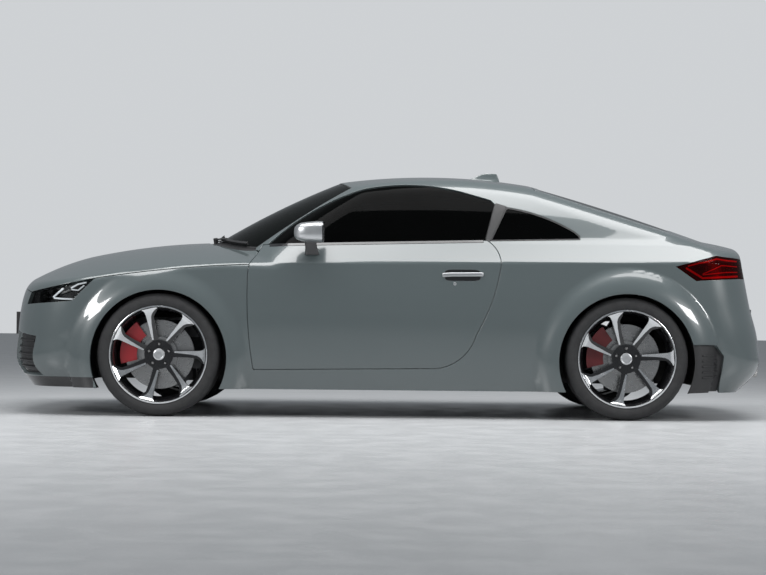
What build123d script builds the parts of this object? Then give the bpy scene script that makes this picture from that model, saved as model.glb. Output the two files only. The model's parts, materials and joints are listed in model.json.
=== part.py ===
from build123d import *
from collections import namedtuple
from math import cos, radians, sin
import os

os.makedirs("parts", exist_ok=True)

# A two-door sports coupe with a lift-up tailgate, built as separate panels round a hollow cabin.
# Frame: the nose points to -X, the left side to -Y, +Z is up, and the tyres stand on z = 0.
# X is measured from the middle of the car's length. All sizes are in millimetres.

# ---------------------------------------------------------------- driving dimensions
WHEELBASE = 2505.0
FRONT_AXLE_X = -1225.5
REAR_AXLE_X = FRONT_AXLE_X + WHEELBASE
TRACK_HALF = {"front": 775.0, "rear": 780.0}
AXLE_X = {"front": FRONT_AXLE_X, "rear": REAR_AXLE_X}
REACH = 1300.0               # cutting prisms run this far to each side

TYRE_R = 330.5
TYRE_HALF_W = 127.5
BEAD_R = 254.0               # tyre on rim
RIM_LIP_R = 264.0
SPOKES = 7
SPOKE_ANGLE = {"front": 104.0, "rear": 107.5}
DISC_R = 185.0
SPINDLE_R = 24.0
SPINDLE_GAP = 0.05
PIN_R = 12.0                 # steering pivot pins
PIN_GAP = 0.05

PANEL_GAP = 6.0              # shut lines of doors and lids
GLASS_GAP = 8.0
FLANGE = 20.0                # depth of a door's outer flange
DOOR_STEP = 36.0             # the door's inner layer stands in this far from its outline
APERTURE_STEP = 14.0         # and the seal face of the body this far
DOOR_T = 90.0                # doors, pillars and sills
ROOF_T = 45.0
LID_T = 28.0                 # bonnet, bumpers, wings and tailgate
HATCH_T = 42.0               # tailgate frame
GLASS_IN = 4.0               # glass stands this far inside the body surface
GLASS_T = 5.0

ARCH_R = 366.0               # wheel opening in the body side
ARCH_DROP = 17.0             # its centre below the axle
LINER_R = {"front": 398.0, "rear": 378.0}
LINER_T = 6.0
LINER_WALL_Y = {"front": 462.0, "rear": 560.0}
FLARE_R = 490.0              # where the wheel flare meets the body side
FLARE_Y = {"front": 908.0, "rear": 916.0}

BELT_Z = 945.0               # bottom edge of the side glass at x = 0
BELT_SLOPE = 0.0254
WAIST_Z = 831.0              # the crease along the doors at x = 0
WAIST_SLOPE = 0.009
PROFILE_EDGE_Y = 940.0       # where the outer side-view profile is drawn
FLOOR_Z = 150.0
FLOOR_T = 30.0
HATCH_X = 800.0              # front edge of the tailgate
HATCH_LOW_Z = 772.0          # its lower edge on the tail
DOOR_FRONT_X = -751.0
HANDLE_X, HANDLE_Z = 398.0, 770.0
STEER_Y = 750.0              # steering axis from the centre line
GRILLE_PITCH = 62.0

# ---------------------------------------------------------------- body surfaces
# Plan outlines, one a level: height and slope, nose, front corner, middle, rear corner, tail, corner radii.
Level = namedtuple("Level", "z slope nose xf yf xm ym xr yr tail rf rr")
LOWER = [
    Level(150, 0, -2012, -1880, 780, 0, 852, 1880, 790, 1970, 300, 240),
    Level(260, 0, -2090, -1955, 840, 0, 872, 1975, 825, 2078, 350, 260),
    Level(420, 0, -2094, -1955, 855, 0, 886, 1980, 840, 2084, 370, 270),
    Level(620, 0, -2070, -1930, 858, 0, 890, 1935, 840, 2034, 390, 280),
    Level(WAIST_Z, WAIST_SLOPE, -1995, -1860, 845, 0, 878, 1895, 822, 1988, 390, 280),
]
BELT = Level(BELT_Z, BELT_SLOPE, -1700, -1500, 700, 150, 802, 1900, 640, 1960, 200, 200)
UPPER = [
    BELT,
    Level(1160, BELT_SLOPE, -1700, -1500, 575, 150, 692, 1900, 470, 1960, 200, 200),
    Level(1370, 0, -1700, -1500, 400, 150, 545, 1900, 270, 1960, 200, 200),
]

# Side-view profiles on the centre line and at PROFILE_EDGE_Y: (x, z) ends and mid points of arcs.
CENTRE_PROFILE = {
    "bonnet_front": [(-2150, 640), (-1925, 785), (-1690, 873)],
    "bonnet_rear": [(-1690, 873), (-1350, 932), (-985, 958)],
    "windscreen": [(-985, 958), (-600, 1170), (-287, 1308)],
    "roof": [(-287, 1308), (200, 1344), (788, 1300)],
    "rear_glass": [(788, 1300), (1300, 1152), (1765, 992)],
    "deck": [(1765, 992), (1900, 966), (2150, 880)],
}
EDGE_PROFILE = {
    "bonnet_front": [(-2150, 531), (-1925, 638), (-1690, 697)],
    "bonnet_rear": [(-1690, 697), (-1132, 777), (-554, 810)],
    "windscreen": [(-554, 810), (-251, 1001), (15, 1179)],
    "roof": [(15, 1179), (418, 1211), (788, 1171)],
    "rear_glass": [(788, 1171), (1300, 1002), (1765, 881)],
    "deck": [(1765, 881), (1900, 852), (2150, 782)],
}


def plan_outline(level, inset=0.0):
    """Closed plan outline of the body: nose arc, side arcs and tail arc, with rounded corners."""
    s = level
    plane = Plane(origin=(0, 0, s.z), x_dir=(1, 0, s.slope), z_dir=(-s.slope, 0, 1))
    with BuildSketch(plane) as outline:
        with BuildLine():
            ThreePointArc((s.xf, -s.yf), (s.nose, 0), (s.xf, s.yf))
            ThreePointArc((s.xf, s.yf), (s.xm, s.ym), (s.xr, s.yr))
            ThreePointArc((s.xr, s.yr), (s.tail, 0), (s.xr, -s.yr))
            ThreePointArc((s.xr, -s.yr), (s.xm, -s.ym), (s.xf, -s.yf))
        make_face()
        fillet(outline.vertices().group_by(Axis.X)[0], s.rf)
        fillet(outline.vertices().group_by(Axis.X)[-1], s.rr)
        if inset:
            offset(amount=-inset, kind=Kind.INTERSECTION, mode=Mode.REPLACE)
    return outline.sketch


def profile_outline(profile, y, inset=0.0):
    """Closed side-view outline at y: the body's top line, dropped by inset, over a deep base."""
    with BuildSketch(Plane.XZ.offset(-y)) as outline:
        with BuildLine():
            lowered = [[(x, z - inset) for x, z in points] for points in profile.values()]
            for start, middle, end in lowered:
                ThreePointArc(start, middle, end)
            first, last = lowered[0][0], lowered[-1][-1]
            Polyline(last, (last[0], 100), (first[0], 100), first)
        make_face()
    return outline.sketch


def top_solid(inset=0.0):
    """Everything under the bonnet, windscreen, roof, rear glass and deck surfaces."""
    with BuildPart() as under:
        for y in (-PROFILE_EDGE_Y, 0.0, PROFILE_EDGE_Y):
            add(profile_outline(CENTRE_PROFILE if y == 0 else EDGE_PROFILE, y, inset))
        loft()
    return under.part


def side_solid(inset=0.0):
    """Everything inside the body sides, nose and tail."""
    with BuildPart() as inside:
        for level in LOWER:
            add(plan_outline(level, inset))
        loft()
    with BuildPart() as shoulder:
        for level in (LOWER[-1], BELT):
            add(plan_outline(level, inset))
        loft(ruled=True)
    with BuildPart() as glasshouse:
        for level in UPPER:
            add(plan_outline(level, inset))
        loft()
    return inside.part + shoulder.part + glasshouse.part


def arch_plane(axle, y=0.0):
    """The XZ plane centred on a wheel arch, at distance y to the left."""
    return Plane(origin=(AXLE_X[axle], -y, TYRE_R - ARCH_DROP), x_dir=(1, 0, 0), z_dir=(0, -1, 0))


def wheel_flares():
    """The four swellings of the body side round the wheels."""
    with BuildPart() as flares:
        for axle, x in AXLE_X.items():
            out = FLARE_Y[axle]
            with BuildSketch(Plane.XY.offset(TYRE_R - ARCH_DROP)):
                with BuildLine():
                    Polyline((x + FLARE_R, 853), (x + FLARE_R, 500), (x, 500), (x, out), (x + ARCH_R + 6, out))
                    ThreePointArc((x + ARCH_R + 6, out), (x + ARCH_R + 60, out - 17), (x + FLARE_R, 853))
                make_face()
            revolve(axis=Axis((x, 0, TYRE_R - ARCH_DROP), (0, 1, 0)))
        mirror(about=Plane.XZ)
    return flares.part


def hull(side_inset, top_inset, flares=None):
    """The whole body as one solid, taken in by side_inset at the sides and top_inset at the top."""
    with BuildPart() as body:
        add(side_solid(side_inset))
        if flares:
            add(flares)
        add(top_solid(top_inset), mode=Mode.INTERSECT)
        split(bisect_by=Plane.XY.offset(FLOOR_Z), keep=Keep.TOP)
    return body.part


def side_prism(draw, grow=0.0, inner=300.0, outer=REACH):
    """A prism through the left side, from the closed side-view lines that draw() makes."""
    with BuildPart() as prism:
        with BuildSketch(Plane.XZ.offset(inner)) as outline:
            with BuildLine():
                draw()
            make_face()
            if grow:
                offset(amount=grow, kind=Kind.INTERSECTION, mode=Mode.REPLACE)
        extrude(amount=outer - inner)
    return prism.part


def plan_prism(draw, grow=0.0, low=600.0, high=1500.0):
    """An upright prism from the closed plan lines that draw() makes on the left; both sides are kept."""
    with BuildPart() as prism:
        with BuildSketch(Plane.XY.offset(low)) as outline:
            with BuildLine():
                draw()
            make_face()
            if grow:
                offset(amount=grow, kind=Kind.INTERSECTION, mode=Mode.REPLACE)
        extrude(amount=high - low)
    return prism.part


def belt_z(x):
    return BELT_Z + BELT_SLOPE * x


# ---------------------------------------------------------------- outlines of the panels
def door_lines():
    Line((-681, belt_z(-681)), (-742, 822))
    ThreePointArc((-742, 822), (-750, 765), (DOOR_FRONT_X, 709))
    ThreePointArc((DOOR_FRONT_X, 709), (-745, 480), (-717, 258))
    Line((-717, 258), (260, 272))
    ThreePointArc((260, 272), (388, 325), (470, 450))
    ThreePointArc((470, 450), (562, 655), (602, 830))
    ThreePointArc((602, 830), (588, 893), (530, belt_z(530)))
    Line((530, belt_z(530)), (-681, belt_z(-681)))


def door_glass_lines():
    ThreePointArc((-650, belt_z(-650)), (-425, 1108), (-131, 1238))
    ThreePointArc((-131, 1238), (100, 1263), (435, 1214))
    Polyline((435, 1214), (552, 1180), (571, 1160), (516, belt_z(516)), (-650, belt_z(-650)))


def belt_opening_lines():
    """The door's upper edge leaves the body here: from the waist to the glass, with room for its front corner."""
    Polyline((-757, 800), (-690, 800), (-560, 860), (520, 860), (524, belt_z(524) + 2), (-600, belt_z(-600) + 2),
             (-676, belt_z(-676) + 3), (-690, 931), (-757, 860), (-757, 800))


def quarter_glass_lines():
    Polyline((549, belt_z(549)), (640, 1145))
    ThreePointArc((640, 1145), (830, 1099), (1009, 1014))
    Polyline((1009, 1014), (1036, 990), (1036, belt_z(1036)), (549, belt_z(549)))


def headlamp_lines():
    Polyline((-1964, 593), (-1939, 660), (-1571, 736), (-1697, 612), (-1964, 593))


def tail_lamp_lines():
    Polyline((1540, 829), (1771, 892), (1830, 884), (2100, 870), (2100, 769), (1895, 765), (1653, 750), (1540, 829))


def bumper_front_lines():
    Polyline((-2200, 50), (-1400, 50), (-1400, 420), (-1535, 505), (-1697, 612), (-1964, 593), (-1939, 660),
             (-1939, 1000), (-2200, 1000), (-2200, 50))


def bumper_rear_lines():
    Polyline((2200, 50), (1450, 50), (1450, 350), (1622, 480), (1653, 750), (1895, 765), (2200, 765), (2200, 50))


def bonnet_lines():
    ThreePointArc((-722, -690), (-1035, 0), (-722, 690))
    Polyline((-722, 690), (-690, 760), (-690, 1000), (-2200, 1000), (-2200, -1000), (-690, -1000),
             (-690, -760), (-722, -690))


def bonnet_side_lines():
    """The bonnet wraps over the wings: its shut line runs on the crest, from the nose to the door."""
    Polyline((-2200, 757), (-1939, 664), (-1571, 740))
    ThreePointArc((-1571, 740), (-1104, 799), (-640, 824))
    Polyline((-640, 824), (-640, 1500), (-2200, 1500), (-2200, 757))


def windscreen_lines():
    ThreePointArc((-722, -664), (-977, 0), (-722, 664))
    Line((-722, 664), (-205, 548))
    ThreePointArc((-205, 548), (-282, 0), (-205, -548))
    Line((-205, -548), (-722, -664))


def cowl_lines():
    ThreePointArc((-722, -664), (-977, 0), (-722, 664))
    Line((-722, 664), (-722, 690))
    ThreePointArc((-722, 690), (-1035, 0), (-722, -690))
    Line((-722, -690), (-722, -664))


def roof_lines():
    ThreePointArc((-205, 548), (-282, 0), (-205, -548))
    ThreePointArc((-205, -548), (300, -575), (HATCH_X, -560))
    Line((HATCH_X, -560), (HATCH_X, 560))
    ThreePointArc((HATCH_X, 560), (300, 575), (-205, 548))


def hatch_lines():
    Line((HATCH_X, 560), (HATCH_X, -560))
    ThreePointArc((HATCH_X, -560), (1250, -595), (1700, -600))
    Polyline((1700, -600), (1760, -540), (2200, -540), (2200, 540), (1760, 540), (1700, 600))
    ThreePointArc((1700, 600), (1250, 595), (HATCH_X, 560))


def hatch_glass_lines():
    Line((HATCH_X + 38, 505), (HATCH_X + 38, -505))
    ThreePointArc((HATCH_X + 38, -505), (1150, -535), (1530, -540))
    ThreePointArc((1530, -540), (1600, 0), (1530, 540))
    ThreePointArc((1530, 540), (1150, 535), (HATCH_X + 38, 505))


# ---------------------------------------------------------------- body shells
flares = wheel_flares()
outer = hull(0, 0, flares)
under_flange = hull(FLANGE, FLANGE)
under_lid = hull(LID_T, LID_T)
cabin = hull(DOOR_T, ROOF_T)
glass_outer = hull(GLASS_IN, GLASS_IN)
glass_inner = hull(GLASS_IN + GLASS_T, GLASS_IN + GLASS_T)

with BuildPart() as arches:                  # openings through the outer skin, both sides
    for axle in AXLE_X:
        with BuildSketch(arch_plane(axle, -REACH)):
            Circle(ARCH_R)
        extrude(amount=2 * REACH)
with BuildPart() as liner_space:             # the wheelhouses with their linings
    for axle, x in AXLE_X.items():
        for side in (-1, 1):
            with BuildSketch(arch_plane(axle, LINER_WALL_Y[axle] - LINER_T if side < 0 else -REACH)):
                Circle(LINER_R[axle] + LINER_T)
            extrude(amount=REACH - LINER_WALL_Y[axle] + LINER_T)



def saved(shape, name):
    """Write one node; solids that only touch are kept as they are."""
    shape.label = name
    export_step(shape, f"parts/{name}.step")


def left(shape, *cuts):
    """The part of shape on the left side, less the cuts."""
    with BuildPart() as piece:
        add(shape)
        split(bisect_by=Plane.XZ, keep=Keep.TOP)
        for cut in cuts:
            add(cut, mode=Mode.SUBTRACT)
    return piece.part


def pair(shape):
    """A left shape and its mirror image, to cut with."""
    return shape, mirror(shape, about=Plane.XZ)


def both(shape):
    """A left piece and its mirror image, as two solids of one node."""
    return Compound(children=[shape, mirror(shape, about=Plane.XZ)])


def carve(shape, keep, *cuts):
    """The part of shape inside keep, less the cuts."""
    with BuildPart() as piece:
        add(shape)
        add(keep, mode=Mode.INTERSECT)
        for cut in cuts:
            add(cut, mode=Mode.SUBTRACT)
    return piece.part


def block(x0, x1, y0, y1, z0, z1):
    with BuildPart() as box:
        with Locations(((x0 + x1) / 2, (y0 + y1) / 2, (z0 + z1) / 2)):
            Box(x1 - x0, y1 - y0, z1 - z0)
    return box.part


def bonnet_zone(grow=0.0):
    """The space of the bonnet, grown by a gap at its edges."""
    with BuildPart() as zone:
        add(plan_prism(bonnet_lines, grow))
        add(side_prism(bonnet_side_lines, grow, inner=-REACH), mode=Mode.INTERSECT)
    return zone.part


whole = block(-2200, 2200, -REACH, REACH, 0, 1500)
bonnet_cut = bonnet_zone()
bonnet_hole = bonnet_zone(PANEL_GAP)
hatch_cut = plan_prism(hatch_lines, low=HATCH_LOW_Z)
hatch_hole = plan_prism(hatch_lines, PANEL_GAP, low=HATCH_LOW_Z - PANEL_GAP)
screen_cut = plan_prism(windscreen_lines)
roof_cut = plan_prism(roof_lines)
cowl_cut = plan_prism(cowl_lines)
front_bumper_cut = side_prism(bumper_front_lines, inner=-REACH)
rear_bumper_cut = side_prism(bumper_rear_lines, inner=-REACH)
headlamp_cut = side_prism(headlamp_lines, inner=450)
tail_lamp_cut = side_prism(tail_lamp_lines, inner=430)
door_cut = side_prism(door_lines)
door_inner_cut = side_prism(door_lines, -DOOR_STEP)
door_hole = side_prism(door_lines, PANEL_GAP)
door_inner_hole = side_prism(door_lines, -APERTURE_STEP)
door_glass_cut = side_prism(door_glass_lines)
door_glass_hole = side_prism(door_glass_lines, GLASS_GAP)
quarter_cut = side_prism(quarter_glass_lines)
belt_opening = side_prism(belt_opening_lines)

lid_skin = carve(outer, whole, under_lid)
side_wall = carve(outer, whole, cabin)

# ---------------------------------------------------------------- doors
door_outer = carve(outer, door_cut, under_flange)
door_core = carve(under_flange, door_inner_cut, cabin, block(-760, -610, -REACH, 0, 840, 1000))
handle_recess = block(HANDLE_X - 98, HANDLE_X + 98, -REACH, -860, HANDLE_Z - 32, HANDLE_Z + 32)
with BuildPart() as door_made:
    add(door_outer)
    add(door_core)
    add(handle_recess, mode=Mode.SUBTRACT)
    with BuildSketch(Plane.XZ.offset(872)):
        with Locations((HANDLE_X, HANDLE_Z + 4)):
            SlotOverall(220, 22)
    extrude(amount=18)
door_left = door_made.part
door_glass = carve(glass_outer, door_glass_cut, glass_inner, door_cut)
with BuildPart() as mirror_left:
    with BuildSketch(Plane.YZ.offset(-470)):
        with Locations((-930, 992)):
            RectangleRounded(150, 96, 30)
    with BuildSketch(Plane.YZ.offset(-345)):
        with Locations((-925, 993)):
            RectangleRounded(178, 112, 36)
    loft()
    with BuildSketch(Plane.YZ.offset(-500)):
        with Locations((-922, 990)):
            RectangleRounded(100, 60, 24)
    with BuildSketch(Plane.YZ.offset(-470)):
        with Locations((-930, 992)):
            RectangleRounded(150, 96, 30)
    loft()
    with BuildSketch(Plane.XY.offset(880)):
        with Locations((-410, -835)):
            Rectangle(70, 30)
    with BuildSketch(Plane.XY.offset(958)):
        with Locations((-420, -880)):
            Rectangle(60, 50)
    loft()
    add(door_left, mode=Mode.SUBTRACT)
saved(door_left, "door_left")
saved(mirror(door_left, about=Plane.XZ), "door_right")
saved(door_glass, "door_glass_left")
saved(mirror(door_glass, about=Plane.XZ), "door_glass_right")
saved(mirror_left.part, "mirror_left")
saved(mirror(mirror_left.part, about=Plane.XZ), "mirror_right")

# ---------------------------------------------------------------- lids and fixed glass
bonnet = carve(lid_skin, bonnet_cut, *pair(headlamp_cut), *pair(door_hole))
cowl = carve(outer, cowl_cut, cabin, bonnet_hole)
hatch_glass_cut = plan_prism(hatch_glass_lines)
under_hatch = hull(HATCH_T, HATCH_T)
hatch = carve(outer, hatch_cut, under_hatch, hatch_glass_cut, block(700, 1700, -REACH, REACH, 0, 880))
hatch_glass = carve(glass_outer, hatch_glass_cut, glass_inner)
windscreen = carve(glass_outer, screen_cut, glass_inner)
with BuildPart() as roof:
    add(carve(side_wall, roof_cut, hatch_hole))
    with BuildSketch(Plane.XZ.offset(-9)):
        with BuildLine():
            Line((440, 1326), (640, 1320))
            Line((640, 1320), (622, 1378))
            ThreePointArc((622, 1378), (548, 1358), (440, 1326))
        make_face()
    extrude(amount=18)
quarter_glass = carve(glass_outer, quarter_cut, glass_inner)
for shape, name in (
    (bonnet, "bonnet"), (hatch, "hatch"), (hatch_glass, "hatch_glass"), (windscreen, "windscreen"),
    (roof.part, "roof_panel"), (cowl, "cowl"), (both(quarter_glass), "quarter_glasses"),
):
    saved(shape, name)

# ---------------------------------------------------------------- side panels and wings
sill_front = block(-905, DOOR_FRONT_X, -REACH, 0, 0, 245)
wing_zone = block(-1990, DOOR_FRONT_X, -REACH, 0, 0, 1500)
wing = carve(left(lid_skin), wing_zone, sill_front, front_bumper_cut, bonnet_hole, headlamp_cut, arches.part,
             screen_cut, cowl_cut, door_hole, block(-2200, -700, -560, 0, 0, 1500))
hinge_pillar = carve(left(under_lid), block(-860, DOOR_FRONT_X, -REACH, -640, 245, 770), cabin)
linings_left = left(carve(liner_space.part, under_lid))
panel_zone = block(DOOR_FRONT_X, 2000, -REACH, 0, 0, 1500)
panel = carve(left(side_wall), panel_zone, rear_bumper_cut, tail_lamp_cut, hatch_hole, roof_cut, screen_cut,
              cowl_cut, bonnet_hole, block(1885, 2200, -REACH, 0, 755, 777))
front_sill = carve(left(side_wall), sill_front)
with BuildPart() as side_panel:
    add(panel)
    add(hinge_pillar)
    add(front_sill)
    add(arches.part, mode=Mode.SUBTRACT)
    add(linings_left, mode=Mode.SUBTRACT)
    add(carve(outer, door_hole, under_flange), mode=Mode.SUBTRACT)
    add(door_inner_hole, mode=Mode.SUBTRACT)
    add(door_glass_hole, mode=Mode.SUBTRACT)
    add(quarter_cut, mode=Mode.SUBTRACT)
    add(belt_opening, mode=Mode.SUBTRACT)
for shape, name in ((wing, "front_wing"), (side_panel.part, "side_panel")):
    saved(shape, f"{name}_left")
    saved(mirror(shape, about=Plane.XZ), f"{name}_right")

# ---------------------------------------------------------------- nose and tail
def face_prism(draw, x0, x1, grow=0.0):
    """A prism along X through the closed front-view lines that draw() makes in (y, z)."""
    with BuildPart() as prism:
        with BuildSketch(Plane.YZ.offset(x0)):
            with BuildLine():
                draw()
            make_face()
            if grow:
                offset(amount=grow, kind=Kind.INTERSECTION, mode=Mode.REPLACE)
        extrude(amount=x1 - x0)
    return prism.part


def grille_lines():
    Polyline((-545, 598), (-500, 330), (-470, 305), (470, 305), (500, 330), (545, 598), (-545, 598))


def intake_lines():
    Polyline((-796, 425), (-590, 455), (-560, 300), (-600, 215), (-778, 209), (-796, 425))


def diffuser_lines():
    Polyline((-640, 50), (-640, 300), (-560, 345), (560, 345), (640, 300), (640, 50), (-640, 50))


def vent_lines():
    """The dark corner behind each rear wheel."""
    Polyline((1560, 60), (1560, 410), (1765, 410), (1808, 350), (1790, 205), (1800, 60), (1560, 60))


grille_cut = face_prism(grille_lines, -2200, -1850)
intake_cut = face_prism(intake_lines, -2200, -1800)
diffuser_cut = face_prism(diffuser_lines, 1700, 2200)
vent_cut = side_prism(vent_lines, inner=450)
front_bumper = carve(lid_skin, front_bumper_cut, bonnet_hole, *pair(headlamp_cut), arches.part, grille_cut,
                     *pair(intake_cut))
rear_skin = carve(lid_skin, rear_bumper_cut, hatch_hole, *pair(tail_lamp_cut), arches.part, *pair(vent_cut))
rear_bumper = carve(rear_skin, block(1400, 2200, -REACH, REACH, 0, 900), diffuser_cut)
corner_vents = both(carve(under_flange, vent_cut, under_lid, liner_space.part, arches.part))
TIP_END = 2046.0
tips = [Location((TIP_END - 141, y, 268), (0, 90, 0)) for y in (-490, -395, 395, 490)]
with BuildPart() as exhaust:
    with Locations(Location((360, 0, 212), (0, 90, 0))):
        Cylinder(32, 2440)
    with Locations((1700, 0, 270)):
        Box(240, 1080, 130)
    with Locations(*tips):
        Cylinder(40, 282)
    with Locations(*[Location((TIP_END - 30, at.position.Y, 268), (0, 90, 0)) for at in tips]):
        Cylinder(35, 180, mode=Mode.SUBTRACT)
with BuildPart() as tip_holes:
    with Locations(*tips):
        Cylinder(46, 400)
with BuildPart() as diffuser:                # a sunk panel with upright blades
    add(carve(under_lid, face_prism(diffuser_lines, 1850, 2200, 14), under_hatch, block(1400, 2200, -REACH, REACH, 0, 190)))
    for y in (-280, -140, 0, 140, 280):
        add(carve(outer, block(1880, 2200, y - 4, y + 4, 165, 300), under_hatch))
    add(tip_holes.part, mode=Mode.SUBTRACT)
with BuildPart() as grille:                  # honeycomb in a plain frame
    add(carve(under_flange, grille_cut, under_lid))
    with BuildSketch(Plane.YZ.offset(-2200)):
        with Locations((0, 451)):
            with HexLocations(GRILLE_PITCH / 2, 19, 5):
                RegularPolygon(GRILLE_PITCH / 2 - 4, 6, major_radius=False)
        with BuildSketch(Plane.YZ.offset(-2200), mode=Mode.INTERSECT):
            with BuildLine():
                grille_lines()
            make_face()
            offset(amount=-14, kind=Kind.INTERSECTION, mode=Mode.REPLACE)
    extrude(amount=350, mode=Mode.SUBTRACT)
intakes = both(carve(under_flange, intake_cut, under_lid))
headlamps = both(carve(glass_outer, headlamp_cut, glass_inner, bonnet_hole))
lamp_units = both(carve(under_lid, headlamp_cut, cabin, bonnet_hole, liner_space.part))
tail_lamps = both(carve(glass_outer, tail_lamp_cut, cabin, hatch_hole))
with BuildPart() as plate_holders:
    with Locations((-2090, 0, 490)):
        Box(24, 530, 125)
    with Locations((2043, 0, 540)):
        Box(30, 530, 125)
    add(outer, mode=Mode.SUBTRACT)
for shape, name in (
    (front_bumper, "front_bumper"), (rear_bumper, "rear_bumper"), (diffuser.part, "diffuser"),
    (exhaust.part, "exhaust"), (grille.part, "grille"), (intakes, "front_intakes"), (headlamps, "headlamps"),
    (lamp_units, "headlamp_units"), (tail_lamps, "tail_lamps"), (corner_vents, "corner_vents"),
    (plate_holders.part, "plate_holders"),
):
    saved(shape, name)


# ---------------------------------------------------------------- floor, linings and drive line
trim_space = hull(DOOR_T + 12, ROOF_T + 12)
with BuildPart() as floor_pan:
    add(block(-860, 900, -REACH, REACH, FLOOR_Z, FLOOR_Z + FLOOR_T))
    add(block(-860, 905, -130, 130, FLOOR_Z, 340))
    add(block(-885, -860, -REACH, REACH, FLOOR_Z, 930))
    add(block(880, 905, -REACH, REACH, FLOOR_Z, 430))
    add(block(880, 1860, -REACH, REACH, 405, 430))
    add(block(1860, 1885, -REACH, REACH, 405, 750))
    add(cabin, mode=Mode.INTERSECT)
    add(liner_space.part, mode=Mode.SUBTRACT)
    add(block(-900, 950, -95, 95, 100, 300), mode=Mode.SUBTRACT)
with BuildPart() as linings:
    for axle, x in AXLE_X.items():
        with BuildSketch(arch_plane(axle, LINER_WALL_Y[axle] - LINER_T)):
            Circle(LINER_R[axle] + LINER_T)
        extrude(amount=REACH)
        with BuildSketch(arch_plane(axle, LINER_WALL_Y[axle])):
            Circle(LINER_R[axle])
        extrude(amount=REACH, mode=Mode.SUBTRACT)
        add(block(x - 190, x + 190, -LINER_WALL_Y[axle] - 40, 0, 0, 530), mode=Mode.SUBTRACT)
    add(under_lid, mode=Mode.INTERSECT)
    add(block(-2200, 2200, -REACH, REACH, 0, 190), mode=Mode.SUBTRACT)


def wheel_part(axle, profile):
    """Revolve a closed profile of (radius, distance outboard of the wheel's middle) round a left wheel's axle."""
    x, track = AXLE_X[axle], TRACK_HALF[axle]
    with BuildPart() as turned:
        with BuildSketch(Plane.XY.offset(TYRE_R)):
            with BuildLine():
                Polyline(*[(x + r, -track - w) for r, w in profile], close=True)
            make_face()
        revolve(axis=Axis((x, 0, TYRE_R), (0, 1, 0)))
    return turned.part


TYRE_PROFILE = [(BEAD_R, -104), (BEAD_R, -116), (RIM_LIP_R, -116), (268, -124), (290, -TYRE_HALF_W), (308, -125),
                (322, -114), (328.5, -98), (TYRE_R, -84), (TYRE_R, 84), (328.5, 98), (322, 114), (308, 125),
                (290, TYRE_HALF_W), (268, 124), (RIM_LIP_R, 116), (BEAD_R, 116), (BEAD_R, 104), (268, 108),
                (300, 112), (316, 92), (316, -92), (300, -112), (268, -108)]
RIM_PROFILE = [(BEAD_R, -104), (BEAD_R, -116), (RIM_LIP_R - 4, -116), (RIM_LIP_R - 4, -121), (250, -121),
               (240, -104), (232, -60), (226, 10), (236, 78), (244, 112), (252, 123), (RIM_LIP_R, 123),
               (RIM_LIP_R, 116), (BEAD_R, 116), (BEAD_R, 104), (246, 90), (240, 60), (234, 10), (240, -60),
               (248, -92)]
FACE_PROFILE = [(0, 63), (78, 63), (112, 66), (238, 84), (242, 112), (210, 106), (140, 94), (78, 86), (0, 86)]
DISC_PROFILE = [(SPINDLE_R + SPINDLE_GAP, 3), (36, 3), (36, 8), (95, 8), (95, 5), (DISC_R, 5), (DISC_R, 31),
                (95, 31), (95, 63), (SPINDLE_R + SPINDLE_GAP, 63)]


def spoke_outline(angle):
    """One spoke seen from outside: straight on one side, widening to a wedge at the rim on the other."""
    points = [(60, 17), (244, 17), (244, -58), (206, -24), (150, -17), (60, -15)]
    c, s = cos(radians(angle)), sin(radians(angle))
    return [(c * u - s * v, s * u + c * v) for u, v in points]


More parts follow.
